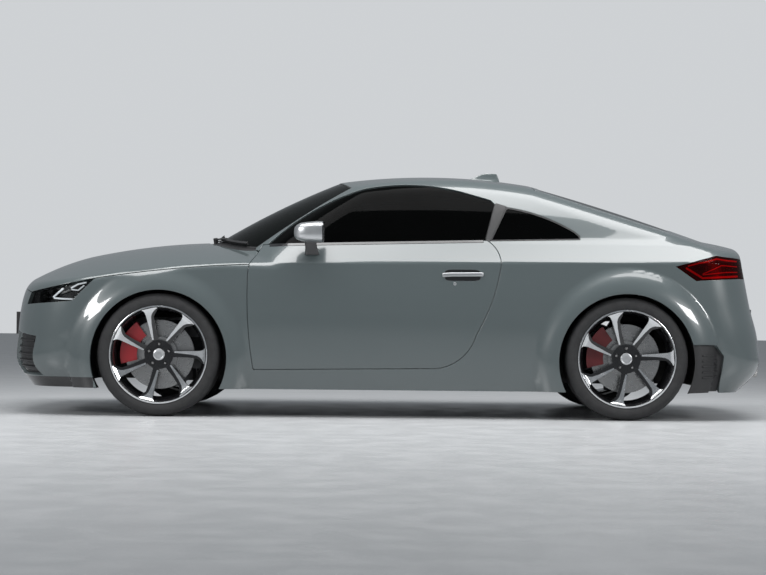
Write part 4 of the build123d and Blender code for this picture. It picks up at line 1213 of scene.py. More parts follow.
def eased(piece, width, segments=2):
    """Round the piece's edges."""
    edge = piece.modifiers.new("edges", "BEVEL")
    edge.width, edge.segments = width / 1000, segments
    edge.limit_method, edge.angle_limit = "ANGLE", SHARP
    edge.harden_normals = False
    return piece


def squircle(a, b, n=28, power=0.55):
    """Points round a rounded rectangle of half sizes a and b."""
    t = np.linspace(0, 2 * math.pi, n, endpoint=False) + math.pi / n
    c, s = np.cos(t), np.sin(t)
    return np.stack([a * np.sign(c) * abs(c) ** power, b * np.sign(s) * abs(s) ** power], 1)


def to_right(piece):
    """The piece's mirror image, with right for left in its name."""
    return mirrored(piece, piece.name.replace("left", "right"))


def on_both(piece, body_name, slot, *materials):
    """Fit a left piece and its mirror image; body_name may hold 'left'."""
    twin = to_right(piece)
    for edge in piece.modifiers:
        copy = twin.modifiers.new(edge.name, edge.type)
        for key in ("width", "segments", "limit_method", "angle_limit", "harden_normals"):
            setattr(copy, key, getattr(edge, key))
    fit(piece, body_name, slot, *materials)
    fit(twin, body_name.replace("left", "right"), slot, *materials)
    return piece, twin


print("a rounded rectangle has", len(squircle(10, 5)), "points")

# %% [markdown]
# ## Wheels
# The rims keep their CAD shape in gloss black, and a thin bright face lies on each spoke, as on wheels that
# are painted and then turned on a lathe. Tyres are turned with few faces: their tread and the ridges of
# their side walls are relief in the material, because cut tread blocks would cost many thousands of faces
# and hardly show.

# %% Tyre rubber
def tyre_rubber(axle):
    """Rubber with three grooves and slanted cuts over the tread, and fine ridges round the side wall."""
    s = Surface("tyre_" + axle)
    where = s.at(location=(-AXLE_X[axle] / 1000, 0, -TYRE_R / 1000))
    xyz = s.tree.nodes.new("ShaderNodeSeparateXYZ")
    s.tree.links.new(where.socket, xyz.inputs[0])
    x, y, z = (Signal(s, xyz.outputs[k]) for k in range(3))
    radius = (x * x + z * z).maths("SQRT")
    turn = x.maths("ARCTAN2", z)
    across = y.maths("ABSOLUTE") - TRACK[axle] / 1000
    tread = radius.between(0.3225, 0.3265)
    groove = (across * 150).maths("SINE").between(0.82, 0.95)
    cuts = (turn * 62 + across * 90).maths("SINE").between(0.75, 0.95)
    cuts = cuts * across.maths("ABSOLUTE").between(0.018, 0.024)
    ridge = (radius * 1900).maths("SINE") * radius.between(0.272, 0.276) * (1 - radius.between(0.312, 0.316))
    height = (1 - groove.maths("MAXIMUM", cuts)) * tread + ridge * 0.12 * (1 - tread) + s.noise(500.0) * 0.05
    # The colour is a random tone, and the grooves in the tread are painted darker: painted shade in the
    # grooves.
    dark = s.noise(8.0, 3.0) * 0.6 + groove * tread * 0.4
    return s.end(s.principled(Base_Color=s.mix(dark, (0.024, 0.024, 0.025), (0.010, 0.010, 0.011)),
                              Roughness=s.noise(30.0).between(0.3, 0.8) * 0.22 + 0.58,
                              Normal=s.relief(height, 0.7, 0.004)))


for axle in AXLE_X:
    M["tyre_" + axle] = tyre_rubber(axle)
print(len(M), "materials with the tyres")

# %% Turned shapes of a wheel
FIRST_SPOKE = {"front": 104.0, "rear": 107.5}      # degrees, as the wheels stand
SPOKES, BOLTS, BOLT_CIRCLE, TYRE_STEPS = 7, 5, 56.0, 38
TYRE_SHAPE = [(254, 104), (255, 116), (264, 118), (272, 124), (290, 127), (306, 125.5), (318, 117),
              (326, 104), (330, 88), (330.5, 0)]
TYRE_SHAPE += [(r, -h) for r, h in reversed(TYRE_SHAPE[:-1])]
CAP_SHAPE = [(31, 80), (31, 87.5), (29.5, 89), (24, 90), (21, 88.6), (12, 89.6), (0.01, 90)]
BOLT_SHAPE = [(8.8, 66), (8.8, 70), (7.4, 70.4), (7.4, 82), (6.2, 83.5), (0.01, 83.8)]
FACE_HEIGHT = ((60, 78, 140, 210, 242, 250, 256, 300), (86, 86, 94, 106, 112, 120.5, 123, 123))
FACE_SPAN = [(83, 16.5, 8), (110, 16.5, 5), (140, 16.5, 1.5), (171, 16.5, -2), (206, 16.5, -9),
             (220, 17, -17), (231, 19, -28), (240, 22, -44), (246, 28, -60), (250, 38, -72)]
LIP_SHAPE = [(254.5, 122.6), (255.5, 124), (260, 124.2), (262.5, 123), (262.8, 121)]


def spoke_face(hub, sign, angle):
    """The turned face of one spoke: a blade that widens into the rim, proud of the black spoke under it."""
    t = math.radians(angle)
    rings = []
    for u, high, low in FACE_SPAN:
        ring = []
        for v, drop in ((high, 0.7), (low, 0.7), (low, -4), (high, -4)):
            h = np.interp(math.hypot(u, v), *FACE_HEIGHT) + drop
            ring.append((hub[0] + math.cos(t) * u - math.sin(t) * v, hub[1] + sign * h,
                         hub[2] + math.sin(t) * u + math.cos(t) * v))
        rings.append(ring)
    return lofted(rings)


print("a spoke's face has", len(spoke_face((0, 0, 0), 1, 0)[1]), "faces")

# %% Finish of a CAD node
def finished_node(node, material, angle):
    """Put a finish on a CAD node that is shown as it is, smooth up to an angle in degrees."""
    piece = NODES[node]
    piece.data.materials.clear()
    piece.data.materials.append(M[material])
    piece.data.shade_smooth()
    piece.data.set_sharp_from_angle(angle=math.radians(angle))
    return piece


print("rims and discs to finish:", sum("_rim_" in n or "_disc_" in n for n in NODES))

# %% The four wheels
for axle, angle in FIRST_SPOKE.items():
    for s, sign in (("left", -1), ("right", 1)):
        hub, out = (AXLE_X[axle], sign * TRACK[axle], TYRE_R), (0, sign, 0)
        on, end = f"wheel_{axle}_{s}", f"_{axle}_{s}"
        tyre = joined("tyre" + end, [turned(TYRE_SHAPE, hub, out, TYRE_STEPS)])
        tyre.data.shade_smooth()
        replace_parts(fit(tyre, on, "tyre", "tyre_" + axle), f"{axle}_tyre_{s}")
        bolts = []
        for k in range(BOLTS):
            t = math.radians(90 + 360 / BOLTS * k)
            place = (hub[0] + BOLT_CIRCLE * math.cos(t), hub[1], hub[2] + BOLT_CIRCLE * math.sin(t))
            bolts.append(turned(BOLT_SHAPE, place, out, 6))
        fit(eased(joined("bolts" + end, bolts), 0.6), on, "wheel_alloy", "steel")
        fit(joined("hub_cap" + end, [turned(CAP_SHAPE, hub, out, 40)]), on, "wheel_alloy", "silver")
        faces = [spoke_face(hub, sign, angle + 360 * k / SPOKES) for k in range(SPOKES)]
        bright = joined("turned_faces" + end, [turned(LIP_SHAPE, hub, out, 96), *faces])
        fit(bright, on, "wheel_alloy", "turned_" + axle)
        rim = finished_node(f"{axle}_rim_{s}", "gloss_black", 35)
        edge = rim.modifiers.new("edges", "BEVEL")
        edge.width, edge.segments = 0.0022, 2
        edge.limit_method, edge.angle_limit = "ANGLE", math.radians(40)
        finished_node(f"{axle}_disc_{s}", "disc_" + axle, 30)
tyres = [o for o in bpy.data.objects if o.name.startswith("tyre_")]
print("tyres, triangles:", sum(2 * len(o.data.polygons) for o in tyres))

# %% [markdown]
# ## Lamps
# A lamp is a cover level with the body, a dark housing behind it and strokes of light between the two. The
# cover is a panel of the skin itself, so it can't stand proud or leave a step.

# %% Covers
def cover(name, view, loop, keep):
    """A lamp's cover, just under the paint and on a finer net."""
    return panel(name, view, [("left", loop)], keep, sink=0.5, hem=8.0, grid=9.0)


head_cover = cover("headlamp_cover_left", "nose", HEADLAMP,
                   lambda p: inside(HEADLAMP, side(p)) & (p[:, 1] < -450))
tail_cover = cover("tail_lamp_cover_left", "tail", TAIL_LAMP,
                   lambda p: inside(TAIL_LAMP, side(p)) & (p[:, 1] < -430) & ~in_hatch(p, GAP))
for twin in (head_cover, to_right(head_cover)):
    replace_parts(fit(twin, "body", "lamp_glass", "clear"), "headlamps")
for twin in (tail_cover, to_right(tail_cover)):
    fit(twin, "body", "lamp_red", "red_glass")
print("cover faces", len(head_cover.data.polygons), len(tail_cover.data.polygons))

# %% Strokes, lenses and fins of the headlamps
STROKES = [([(-1805, 633), (-1785, 650), (-1746, 682)], 9), ([(-1800, 629), (-1750, 625), (-1692, 623)], 9),
           ([(-1703, 683), (-1665, 704), (-1619, 715)], 9), ([(-1700, 675), (-1662, 671), (-1630, 698)], 7)]
strokes = joined("headlamp_strokes_left", [ribbon("left", path, w, 7, 6) for path, w in STROKES])
on_both(eased(strokes, 1.2), "body", "lamp_glass", "white_lamp")


def at_skin(view, spot, lift=0.0):
    """A place on the skin and the way out of it there."""
    p = thrown(view, np.array([spot], float))
    n = gradient(p)
    return tuple(p[0] + n[0] * lift), tuple(n[0])


def lens(spot, r, lift):
    """A round lens in a ring, set behind the cover."""
    p, n = at_skin("left", spot, lift)
    arcs = [math.radians(a) for a in range(0, 90, 15)]
    bulge = [(r * math.cos(a), r * 0.45 * math.sin(a)) for a in arcs]
    return turned([(r + 7, -8), (r + 7, 1), (r + 5, 3), (r + 1, 1), *bulge, (0.01, r * 0.45)], p, n, 40)


lenses = joined("headlamp_lens_left", [lens((-1868, 640), 26, -16), lens((-1795, 657), 15, -14)])
on_both(lenses, "body", "lamp_glass", "dark_glass")
fins = [ribbon("left", [(-1905 + 9 * k, 612 + 4 * k), (-1600 - 12 * k, 716 - 9 * k)], 2.5, 20, 3)
        for k in range(4)]
on_both(joined("headlamp_fins_left", fins), "body", "lamp_glass", "lamp_black")
print(len(STROKES), "strokes", len(fins), "fins in a headlamp")

# %% Strokes of the tail lamps
TAIL_STROKES = [([(1610, 832), (1773, 876), (1832, 868), (1900, 864)], 7, 3.4),
                ([(1900, 782), (1850, 778), (1690, 768), (1600, 822)], 10, 3.4),
                ([(1690, 790), (1800, 838), (1900, 834)], 5, 4.4),
                ([(1690, 786), (1830, 802), (1900, 804)], 5, 4.4)]
red = joined("tail_lamp_strokes_left", [ribbon("left", path, w, sink, 5) for path, w, sink in TAIL_STROKES])
on_both(eased(red, 1.0), "body", "lamp_red", "red_light")
print(len(TAIL_STROKES), "strokes in a tail lamp")

# %% [markdown]
# ## Grille and openings
# A grille is one cell repeated a few hundred times, which suits Geometry Nodes: two grids of points, half a
# step apart, carry one six-sided ring. The honeycomb is made flat, cut to the opening and then laid on the
# nose.

# %% Helpers for a node group
def geometry_group(name, inputs):
    """A node group with named inputs (name, kind, value) and one geometry output."""
    tree = bpy.data.node_groups.new(name, "GeometryNodeTree")
    for label, kind, value in inputs:
        tree.interface.new_socket(label, in_out="INPUT", socket_type=kind).default_value = value
    tree.interface.new_socket("Geometry", in_out="OUTPUT", socket_type="NodeSocketGeometry")
    return tree


def wire(tree, kind, settings=(), **links):
    """A node of a kind, with its settings and the values or links of its sockets."""
    node = tree.nodes.new(kind)
    for key, value in dict(settings).items():
        setattr(node, key, value)
    for key, value in links.items():
        socket = node.inputs[key.replace("_", " ")]
        for source in value if isinstance(value, list) else [value]:
            if isinstance(source, bpy.types.NodeSocket):
                tree.links.new(source, socket)
            else:
                socket.default_value = source
    return node


print("helpers:", geometry_group.__name__, wire.__name__)

# %% Honeycomb
def honeycomb_group(material):
    """Six-sided rings on two grids of points."""
    tree = geometry_group("honeycomb", [
        ("Pitch", "NodeSocketFloat", 0.031), ("Wall", "NodeSocketFloat", 0.002),
        ("Depth", "NodeSocketFloat", 0.012), ("Columns", "NodeSocketInt", 36), ("Rows", "NodeSocketInt", 7)])
    given = tree.nodes.new("NodeGroupInput").outputs

    def maths(operation, a, b):
        node = tree.nodes.new("ShaderNodeMath")
        node.operation = operation
        for k, v in enumerate((a, b)):
            if isinstance(v, bpy.types.NodeSocket):
                tree.links.new(v, node.inputs[k])
            else:
                node.inputs[k].default_value = v
        return node.outputs[0]

    rise = maths("MULTIPLY", given["Pitch"], math.sqrt(3))
    wide = maths("MULTIPLY", given["Pitch"], maths("SUBTRACT", given["Columns"], 1))
    high = maths("MULTIPLY", rise, maths("SUBTRACT", given["Rows"], 1))
    grid = wire(tree, "GeometryNodeMeshGrid", Size_X=wide, Size_Y=high, Vertices_X=given["Columns"],
                Vertices_Y=given["Rows"]).outputs["Mesh"]
    step = wire(tree, "ShaderNodeCombineXYZ", X=maths("MULTIPLY", given["Pitch"], 0.5),
                Y=maths("MULTIPLY", rise, 0.5))
    other = wire(tree, "GeometryNodeTransform", Geometry=grid, Translation=step.outputs[0]).outputs[0]
    points = wire(tree, "GeometryNodeJoinGeometry", Geometry=[grid, other]).outputs[0]
    radius = maths("SUBTRACT", maths("DIVIDE", given["Pitch"], math.sqrt(3)),
                   maths("MULTIPLY", given["Wall"], 0.58))
    circle = wire(tree, "GeometryNodeCurvePrimitiveCircle", {"mode": "RADIUS"}, Resolution=6,
                  Radius=radius).outputs[0]
    ring = wire(tree, "GeometryNodeTransform", Geometry=circle, Rotation=(0, 0, math.radians(30))).outputs[0]
    section = wire(tree, "GeometryNodeCurvePrimitiveQuadrilateral", Width=given["Wall"],
                   Height=given["Depth"]).outputs[0]
    cell = wire(tree, "GeometryNodeCurveToMesh", Curve=ring, Profile_Curve=section).outputs[0]
    cells = wire(tree, "GeometryNodeInstanceOnPoints", Points=points, Instance=cell).outputs[0]
    real = wire(tree, "GeometryNodeRealizeInstances", Geometry=cells).outputs[0]
    done = wire(tree, "GeometryNodeSetMaterial", Geometry=real, Material=material).outputs[0]
    wire(tree, "NodeGroupOutput", Geometry=done)
    return tree


honeycomb = honeycomb_group(M["gloss_black"])
print("honeycomb group:", len(honeycomb.nodes), "nodes")

# %% Mesh of a node group
def grown_mesh(tree, **values):
    """The mesh that a node group makes, as plain vertices and faces in mm."""
    holder = bpy.data.objects.new("holder", bpy.data.meshes.new("holder"))
    bpy.context.scene.collection.objects.link(holder)
    nodes = holder.modifiers.new("nodes", "NODES")
    nodes.node_group = tree
    for socket in tree.interface.items_tree:
        if socket.name in values:
            nodes[socket.identifier] = values[socket.name]
    bpy.context.view_layer.update()
    mesh = bpy.data.meshes.new_from_object(holder.evaluated_get(bpy.context.evaluated_depsgraph_get()))
    verts = np.array([tuple(v.co) for v in mesh.vertices]) * 1000
    faces = [tuple(f.vertices) for f in mesh.polygons]
    bpy.data.objects.remove(holder)
    bpy.data.meshes.remove(mesh)
    return verts, faces


print("its inputs:", [socket.name for socket in honeycomb.interface.items_tree])

# %% Grille on the nose
GRILLE_MIDDLE, GRILLE_BACK = 436.0, 22.0
verts, faces = grown_mesh(honeycomb, Pitch=0.036, Wall=0.0022, Depth=0.014, Columns=32, Rows=6)
flat = np.stack([verts[:, 0], verts[:, 1] + GRILLE_MIDDLE], 1)
fits = inside(grown(GRILLE, -2), flat)
laid = thrown("front", flat)
laid[:, 0] += GRILLE_BACK + verts[:, 2]
faces = [f for f in faces if all(fits[i] for i in f)]
frame_line = ribbon("front", grown(GRILLE, -7)[::2], 16, 8, 16, closed=True)
grille = joined("grille_mesh", [(laid, faces), frame_line])
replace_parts(fit(grille, "body", "black_plastic", "gloss_black"), "grille")
print("honeycomb faces", len(grille.data.polygons))

# %% Intakes and rear vents
slats = [ribbon("front", [(-784 + (z - 300) * 0.05, z), (-585 - (300 - z) * 0.25, z + 8)], 8, 12, 12)
         for z in (246, 284, 322, 360, 398)]
on_both(eased(joined("intake_slats_left", slats), 1.0), "body", "black_plastic", "black")
vent = panel("vent_panel_left", "left", [("left", VENT), ("left", ARCHES["rear"])],
             lambda p: inside(VENT, side(p)) & without(p, ARCHES["rear"]), sink=18, hem=6)
for twin in on_both(vent, "body", "black_plastic", "black"):
    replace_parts(twin, "corner_vents")
vent_slats = [ribbon("left", [(1690, z), (1780, z + 4)], 7, 12, 10) for z in (232, 262, 292, 322, 352)]
on_both(eased(joined("vent_slats_left", vent_slats), 1.0), "body", "black_plastic", "black")
print(len(slats), "intake slats", len(vent_slats), "vent slats a side")

# %% [markdown]
# ## Seals and shut lines
# Round the glass of a car runs black rubber, so that no gap shows light. Each seal is a ribbon along the
# pane's own outline, and thinner strips cover the belt line and the pillar between the two side panes.

# %% Seals, belt strip and pillar
door_top = np.array([q for q in grown(DOOR_GLASS, 5) if q[1] > belt(q[0]) + 12])
start = int(np.argmax(np.linalg.norm(door_top - np.roll(door_top, 1, 0), axis=1)))
door_top = np.roll(door_top, -start, 0)
seal = joined("glass_seal_left", [ribbon("left", door_top, 15, 9, 5)])
on_both(seal, "body", "black_plastic", "seal")
belt_line = [(-646, belt(-646) - 3), (512, belt(512) - 3)]
strip = eased(joined("belt_strip_left", [ribbon("left", belt_line, 15, -1.5, 8)]), 1.5, 3)
on_both(strip, "door_left", "black_plastic", "gloss_black")
PILLAR = open_line([(525, belt(525) + 1), (547, belt(547) + 1), (636, 1143), (640, 1152), (584, 1168),
                    (578, 1160), (525, belt(525) + 1)])[:-1]
pillar = panel("pillar_cover_left", "left", [("left", PILLAR)], lambda p: inside(PILLAR, side(p)),
               sink=-0.8, hem=5)
on_both(pillar, "body", "black_plastic", "black")
quarter = joined("quarter_seal_left", [ribbon("left", grown(QUARTER_GLASS, 0)[::2], 11, 1.2, 7, closed=True)])
on_both(quarter, "body", "black_plastic", "seal")
for name, loop, on in (("screen_seal", grown(SCREEN, -2), "body"),
                       ("hatch_seal", grown(HATCH_GLASS, 1), "hatch")):
    fit(joined(name, [ribbon("top", loop[::2], 11, 1.6, 6, closed=True)]), on, "black_plastic", "seal")
print("door seal points", len(door_top), "pillar points", len(PILLAR))

# %% [markdown]
# ## Door handles
# A bar handle bridges a dished cup, so that fingers reach behind it. The cup is the handle's outline,
# shrunk step by step and pushed in along the skin's own direction.

# %% Cup, bar and lock
CUP = ((1.0, 1.5), (0.97, 5), (0.9, 15), (0.6, 20), (0.1, 21))   # size and depth of each ring
cup_middle = np.array([398.0, 770.0])
rings = []
for size, depth in CUP:
    p = thrown("left", cup_middle + (HANDLE - cup_middle) * size)
    rings.append(p - gradient(p) * depth)
on_both(joined("handle_cup_left", [lofted(rings)]), "door_left", "black_plastic", "gloss_black")
bar = ribbon("left", [(289, 770), (345, 773), (509, 775)], 21, -9, 13)
on_both(eased(joined("handle_bar_left", [bar]), 5, 4), "door_left", "body_paint", "silver")
p, n = at_skin("left", (357, 723))
lock = turned([(8.5, -3), (8.5, 0.6), (7.5, 1.4), (5.5, 1.4), (5, 0.6), (0.01, 0.6)], p, n, 28)
on_both(joined("lock_button_left", [lock]), "door_left", "mirror_metal", "silver")
print("handle bar", len(bar[1]), "faces")

# %% [markdown]
# ## Mirrors
# A mirror's head is a loft from a small round nose to a wide back with a rim, and its foot leans in to the
# door. Both are lofts through rounded rectangles. The foot and the hollow at the back are black.

# %% Head, foot and glass of a mirror
SHELL = [(-503, 30, 14, -926, 988), (-500, 48, 26, -926, 989), (-490, 62, 37, -927, 990),
         (-470, 76, 47, -928.5, 991.5), (-435, 84, 52, -928, 992), (-390, 88, 55, -926, 993),
         (-352, 89, 56, -925, 993), (-346, 87.5, 54.5, -925, 993), (-345, 84, 51, -925, 993),
         (-350, 80, 47, -925, 993)]
FOOT = ((873, -410, -838, 40, 17), (885, -411, -842, 37, 17), (915, -415, -858, 32, 19),
        (945, -419, -874, 32, 24), (962, -421, -884, 34, 28))
PANE = ((-351, 79, 46), (-348.5, 78, 45), (-348.2, 40, 22), (-348, 1, 1))
head = [np.array([(x, y + a, z + b) for a, b in squircle(w, h, 44, 0.62)]) for x, w, h, y, z in SHELL]
foot = [np.array([(x + u, y + v, z) for u, v in squircle(a, b, 28, 0.6)]) for z, x, y, a, b in FOOT]
housing = joined("mirror_housing_left", [lofted(head), lofted(foot)])


def black_of_mirror(p):
    """The foot and the back of the head, on either side of the car."""
    x, y, z = p[:, 0], np.abs(p[:, 1]), p[:, 2]
    return ((z < 946) & (y < 905)) | (x > -349)


for twin in on_both(housing, "door_left", "mirror_metal", "silver", "gloss_black"):
    paint_faces(twin, black_of_mirror)
    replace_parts(twin, "mirror_left" if "left" in twin.name else "mirror_right")
pane = [np.array([(x, -925 + u, 993 + v) for u, v in squircle(w, h, 44, 0.62)]) for x, w, h in PANE]
on_both(joined("mirror_glass_left", [lofted(pane)]), "door_left", "mirror_metal", "silver")
print("mirror housing", len(housing.data.polygons), "faces")

# %% [markdown]
# ## Wipers, aerial, exhaust tips and trim
# Wipers rest on the glass and follow its bend, so they are ribbons too. The aerial is a fin that grows out
# of the roof, and the exhaust tips are turned pipes with a rolled edge.

# %% Wipers
SWEEPS = [([(-770, -585), (-880, -400), (-948, -160)], (-985, -150), (-900, -345)),
          ([(-938, -100), (-950, 120), (-915, 330)], (-1008, 120), (-946, 150))]
blades, arms = [], []
for blade, pivot, grip in SWEEPS:
    path = arc(*blade, 30)
    blades += [ribbon("top", path, 7, -16, 15), ribbon("top", path, 13, -19, 4)]
    arms += [ribbon("top", [pivot, grip], 13, -24, 7)]
    p, n = at_skin("top", pivot)
    arms += [turned([(13, -4), (13, 26), (10, 29), (0.01, 30)], p, n, 24)]
fit(eased(joined("wipers", blades + arms), 1.0), "body", "black_plastic", "black")
print(len(SWEEPS), "wipers")

# %% Aerial, exhaust tips and diffuser edge
ROOF_AT_FIN = 1324.0
FIN = [(0, 440, 640, 21), (5, 443, 641, 19), (14, 455, 639, 12), (30, 490, 634, 7), (45, 525, 628, 4.5),
       (52, 545, 624, 3), (54, 555, 618, 1.5)]
rings = []
for h, x0, x1, w in FIN:
    loop = squircle((x1 - x0) / 2, w, 32, 0.9) + ((x0 + x1) / 2, 0)
    base = thrown("top", loop)[:, 2] - 1 if h == 0 else np.full(len(loop), ROOF_AT_FIN + h)
    rings.append(np.column_stack([loop, base]))
fit(joined("aerial_fin", [lofted(rings)]), "body", "body_paint", "paint")
TIP = [(40.5, 0), (40.5, 112), (39.6, 114.6), (38, 115.6), (36.4, 115), (35.3, 112), (35.2, 8)]
tips = [turned(TIP, (1930, y, 268), (1, 0, 0), 48) for y in (-490, -395, 395, 490)]
fit(joined("exhaust_tips", tips), "body", "exhaust_steel", "steel")
rim_line = [(-640, 165), (-640, 300), (-560, 345), (560, 345), (640, 300), (640, 165)]
trim = eased(joined("diffuser_trim", [ribbon("rear", rim_line, 12, -0.8, 9)]), 1.5)
fit(trim, "body", "black_plastic", "gloss_black")

# %% [markdown]
# ## Cabin
# A seat is a set of stuffed leather pads on hard shells. Each pad starts as a rounded block a little
# smaller than its place. It is remeshed, blown up as cloth for 20 frames with its movement capped, and then
# drawn in along its sewn channels. Cloth under pressure gives a full and slightly uneven crown, which a
# bevelled box doesn't have.

# %% Blocks to start from
def pad_block(name, centre, half, tilt):
    """A rounded block turned by tilt degrees about the car's width."""
    turn, (a, b, c) = Matrix.Rotation(math.radians(tilt), 3, "Y"), half
    rings = []
    for t in np.sin(np.linspace(-math.pi / 2, math.pi / 2, 11)) * 0.985:
        k = (1 - abs(t) ** 3) ** (1 / 3)
        ring = squircle(a * (0.55 + 0.45 * k), b * (0.55 + 0.45 * k), 36, 0.6)
        rings.append([tuple(turn @ Vector((u, v, c * t)) + Vector(centre)) for u, v in ring])
    return joined(name, [lofted(rings)])


print("a block with sides like", squircle(1.0, 1.0, 36, 0.6)[0])

# %% Pads blown up as cloth
VOXEL, PRESSURE = 0.016, 4.0


def baked(piece):
    """Put the modified mesh in the piece and clear its modifiers."""
    mesh = bpy.data.meshes.new_from_object(piece.evaluated_get(bpy.context.evaluated_depsgraph_get()))
    piece.modifiers.clear()
    piece.data = mesh
    return np.array([tuple(v.co) for v in mesh.vertices])


def blown(pads, cap=0.014, frames=20):
    """Swell all the pads at once as cloth under pressure, moving no point further than cap."""
    start = {}
    for piece in pads:
        remesh = piece.modifiers.new("remesh", "REMESH")
        remesh.mode, remesh.voxel_size = "VOXEL", VOXEL
        start[piece] = baked(piece)
        cloth = piece.modifiers.new("cloth", "CLOTH")
        cloth.settings.use_pressure, cloth.settings.uniform_pressure_force = True, PRESSURE
        cloth.settings.effector_weights.gravity = 0
        cloth.settings.quality = 5
        cloth.point_cache.frame_start, cloth.point_cache.frame_end = 1, frames
    for frame_number in range(1, frames + 1):
        bpy.context.scene.frame_set(frame_number)
    moved = {piece: baked(piece) - start[piece] for piece in pads}
    for piece, step in moved.items():
        far = np.linalg.norm(step, axis=1)
        step *= (np.minimum(far, cap) / np.maximum(far, 1e-9))[:, None]
        piece.data.vertices.foreach_set("co", (start[piece] + step).ravel())
    bpy.context.scene.frame_set(1)


print("pads are remeshed at", VOXEL, "m")

# %% Sewn channels
CHANNEL = 8.0


def sewn(piece, centre, tilt, lines, axis, depth=6.0):
    """Draw the piece in along channels at the given distances from its centre."""
    turn = Matrix.Rotation(math.radians(tilt), 3, "Y")
    co = np.array([tuple(v.co) for v in piece.data.vertices]) * 1000
    local = (co - centre) @ np.array(turn)
    pull = sum((np.exp(-((local[:, axis] - line) / CHANNEL) ** 2) for line in lines), np.zeros(len(co)))
    normals = np.array([tuple(v.normal) for v in piece.data.vertices])
    piece.data.vertices.foreach_set("co", ((co - normals * (pull * depth)[:, None]) / 1000).ravel())
    smooth = piece.modifiers.new("smooth", "SUBSURF")
    smooth.levels = smooth.render_levels = 1
    piece.data.shade_smooth()


print("a channel is about", 2 * CHANNEL, "mm wide")

# %% Pads of the four seats
PADS = {  # centre, half size, tilt, channels, their axis
    "seat_cushion": ((152, -375, 326), (218, 136, 46), 7.6, (-110, -40, 30, 100), 0),
    "seat_bolster_outer": ((152, -558, 338), (216, 42, 56), 7.6, (), 0),
    "seat_bolster_inner": ((152, -192, 338), (216, 42, 56), 7.6, (), 0),
    "back_cushion": ((488, -375, 622), (36, 136, 262), 13.7, (-150, -80, -10, 60, 130), 2),
    "back_bolster_outer": ((474, -556, 600), (50, 42, 240), 13.7, (), 2),
    "back_bolster_inner": ((474, -194, 600), (50, 42, 240), 13.7, (), 2),
    "head_pad": ((574, -375, 985), (32, 112, 66), 13.7, (), 2),
    "rear_cushion": ((788, -340, 400), (92, 188, 42), 3.0, (-30, 30), 0),
    "rear_back_pad": ((1014, -340, 668), (34, 188, 215), 24.9, (-80, 0, 80), 2)}
pads = {name: pad_block(name + "_left", *v[:3]) for name, v in PADS.items()}
blown(list(pads.values()))
for name, piece in pads.items():
    centre, half, tilt, lines, axis = PADS[name]
    sewn(piece, centre, tilt, lines, axis)
    node = "rear_seats" if name.startswith("rear") else "front_seats"
    twin = bpy.data.objects.new(name + "_right", piece.data.copy())
    bpy.context.scene.collection.objects.link(twin)
    twin.data.transform(Matrix.Scale(-1, 4, (0, 1, 0)))
    twin.data.flip_normals()
    smooth = twin.modifiers.new("smooth", "SUBSURF")
    smooth.levels = smooth.render_levels = 1
    for each in (piece, twin):
        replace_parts(fit(each, "body", "seat_leather", "leather"), node)
print("pads", {k: len(v.data.vertices) for k, v in pads.items()})

# %% Seat shells and air vents
shells = [pad_block("plinth_left", (160, -375, 238), (225, 205, 62), 0),
          pad_block("back_shell_left", (536, -375, 610), (30, 190, 270), 11)]
for shell in shells:
    on_both(shell, "body", "soft_plastic", "trim")
VENT_SHAPE = [(38, -6), (38, 5), (34, 8), (30, 5), (29, -2), (12, -2), (11, 3), (0.01, 4)]
vents = [turned(VENT_SHAPE, (-476, y, 740), (1, 0, 0.15), 32) for y in (-640, -110, 0, 110, 640)]
fit(joined("dash_vents", vents), "body", "soft_plastic", "silver")
print(len(shells), "shells a side and", len(vents), "vents")

# %% [markdown]
# ## Stage, light and camera
# Car paint shows its shape by what it mirrors, so the light comes from a few large soft boxes: a long one
# overhead for the roof and the shoulders, and one before each end for the flares. The floor is pale and
# plain, and the camera stands low with a long lens, so that the side keeps its true proportions.

# %% Floor
FLOOR, FLOOR_BACK = 30.0, 6.0
M["floor"] = finish("floor", (0.50, 0.51, 0.52), (0.56, 0.57, 0.58), (0.30, 0.42), tone=0.6, grain=40,
                    depth=0.01)
corners = [(-FLOOR, FLOOR_BACK - FLOOR, 0), (FLOOR, FLOOR_BACK - FLOOR, 0), (FLOOR, FLOOR_BACK + FLOOR, 0),
           (-FLOOR, FLOOR_BACK + FLOOR, 0)]
floor = mesh_piece("floor", corners, [(0, 1, 2, 3)], scale=1)
floor.data.materials.append(M["floor"])
print("floor", 2 * FLOOR, "m square")

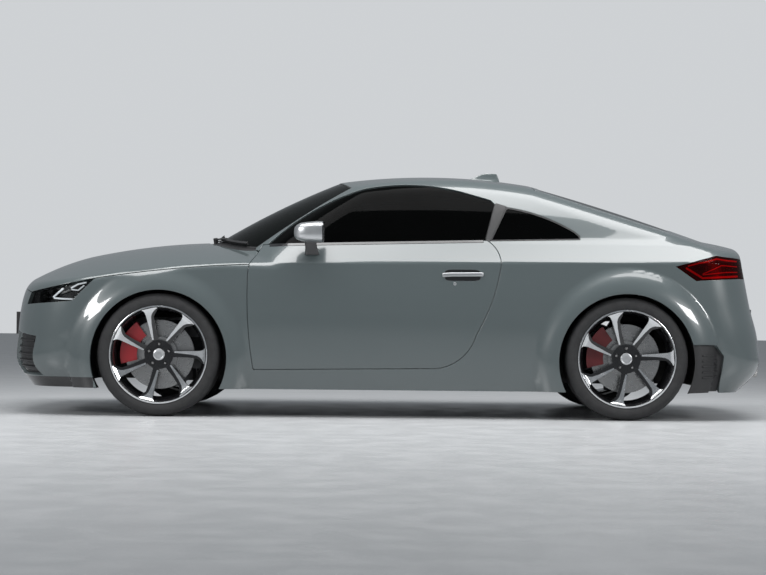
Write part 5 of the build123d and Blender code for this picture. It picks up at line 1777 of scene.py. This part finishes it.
# %% Light from all round
world = bpy.data.worlds.new("studio")
bpy.context.scene.world = world
world.use_nodes = True
tree = world.node_tree
tree.nodes.clear()
soft, shown = tree.nodes.new("ShaderNodeBackground"), tree.nodes.new("ShaderNodeBackground")
soft.inputs["Color"].default_value, soft.inputs["Strength"].default_value = (0.75, 0.8, 0.85, 1), 0.32
shown.inputs["Color"].default_value, shown.inputs["Strength"].default_value = (0.62, 0.64, 0.66, 1), 1.0
rays, pick, out = (tree.nodes.new("ShaderNode" + k) for k in ("LightPath", "MixShader", "OutputWorld"))
tree.links.new(rays.outputs["Is Camera Ray"], pick.inputs[0])
tree.links.new(soft.outputs[0], pick.inputs[1])
tree.links.new(shown.outputs[0], pick.inputs[2])
tree.links.new(pick.outputs[0], out.inputs[0])
print("world", len(tree.nodes), "nodes")

# %% Soft boxes
def softbox(name, size, place, aim, power):
    """A large soft lamp at a place, aimed at a point."""
    data = bpy.data.lights.new(name, "AREA")
    data.shape, data.size, data.size_y, data.energy = "RECTANGLE", size[0], size[1], power
    lamp = bpy.data.objects.new(name, data)
    lamp.location = place
    lamp.rotation_euler = (Vector(aim) - Vector(place)).to_track_quat("-Z", "Y").to_euler()
    bpy.context.scene.collection.objects.link(lamp)


softbox("box_top", (7.0, 3.2), (0.2, -1.2, 5.2), (0, 0, 0.6), 420)
softbox("box_left", (2.2, 1.2), (-5.5, -5.0, 3.0), (-0.8, 0, 0.7), 170)
softbox("box_right", (2.2, 1.2), (5.8, -4.6, 3.2), (1.0, 0, 0.7), 170)
print("lamps", len(bpy.data.lights))

# %% Camera
camera = bpy.data.objects.new("camera", bpy.data.cameras.new("camera"))
bpy.context.scene.collection.objects.link(camera)
bpy.context.scene.camera = camera
camera.location = (-0.0265, -11.3, 0.56)
camera.rotation_euler = (math.radians(90), math.radians(-0.55), 0)
camera.data.lens, camera.data.sensor_width, camera.data.shift_y = 91.55, 36.0, 0.0343
bpy.context.scene.view_settings.view_transform = "Standard"
print("camera", tuple(round(v, 3) for v in camera.location), "lens", round(camera.data.lens, 1))

# %% [markdown]
# ## CAD nodes shown as they are
# The calipers, the running gear, the engine space and the dashboard show their CAD shape, so they only need
# a finish.

# %% Finishes of the CAD nodes that show as they are
KEPT = {"front_caliper": "red_paint", "rear_calipers": "dark_red", "knuckle": "cast", "subframe": "cast",
        "engine": "alloy", "radiator": "alloy", "exhaust": "steel", "floor_pan": "under",
        "wheelhouses": "under", "diffuser": "black", "plate": "black", "dashboard": "trim",
        "steering_wheel": "trim"}
done = []
for node, piece in NODES.items():
    match = [m for key, m in KEPT.items() if key in node and not piece.hide_render]
    if match:
        done.append(finished_node(node, match[0], 32))
print(len(done), "CAD nodes shown as they are")
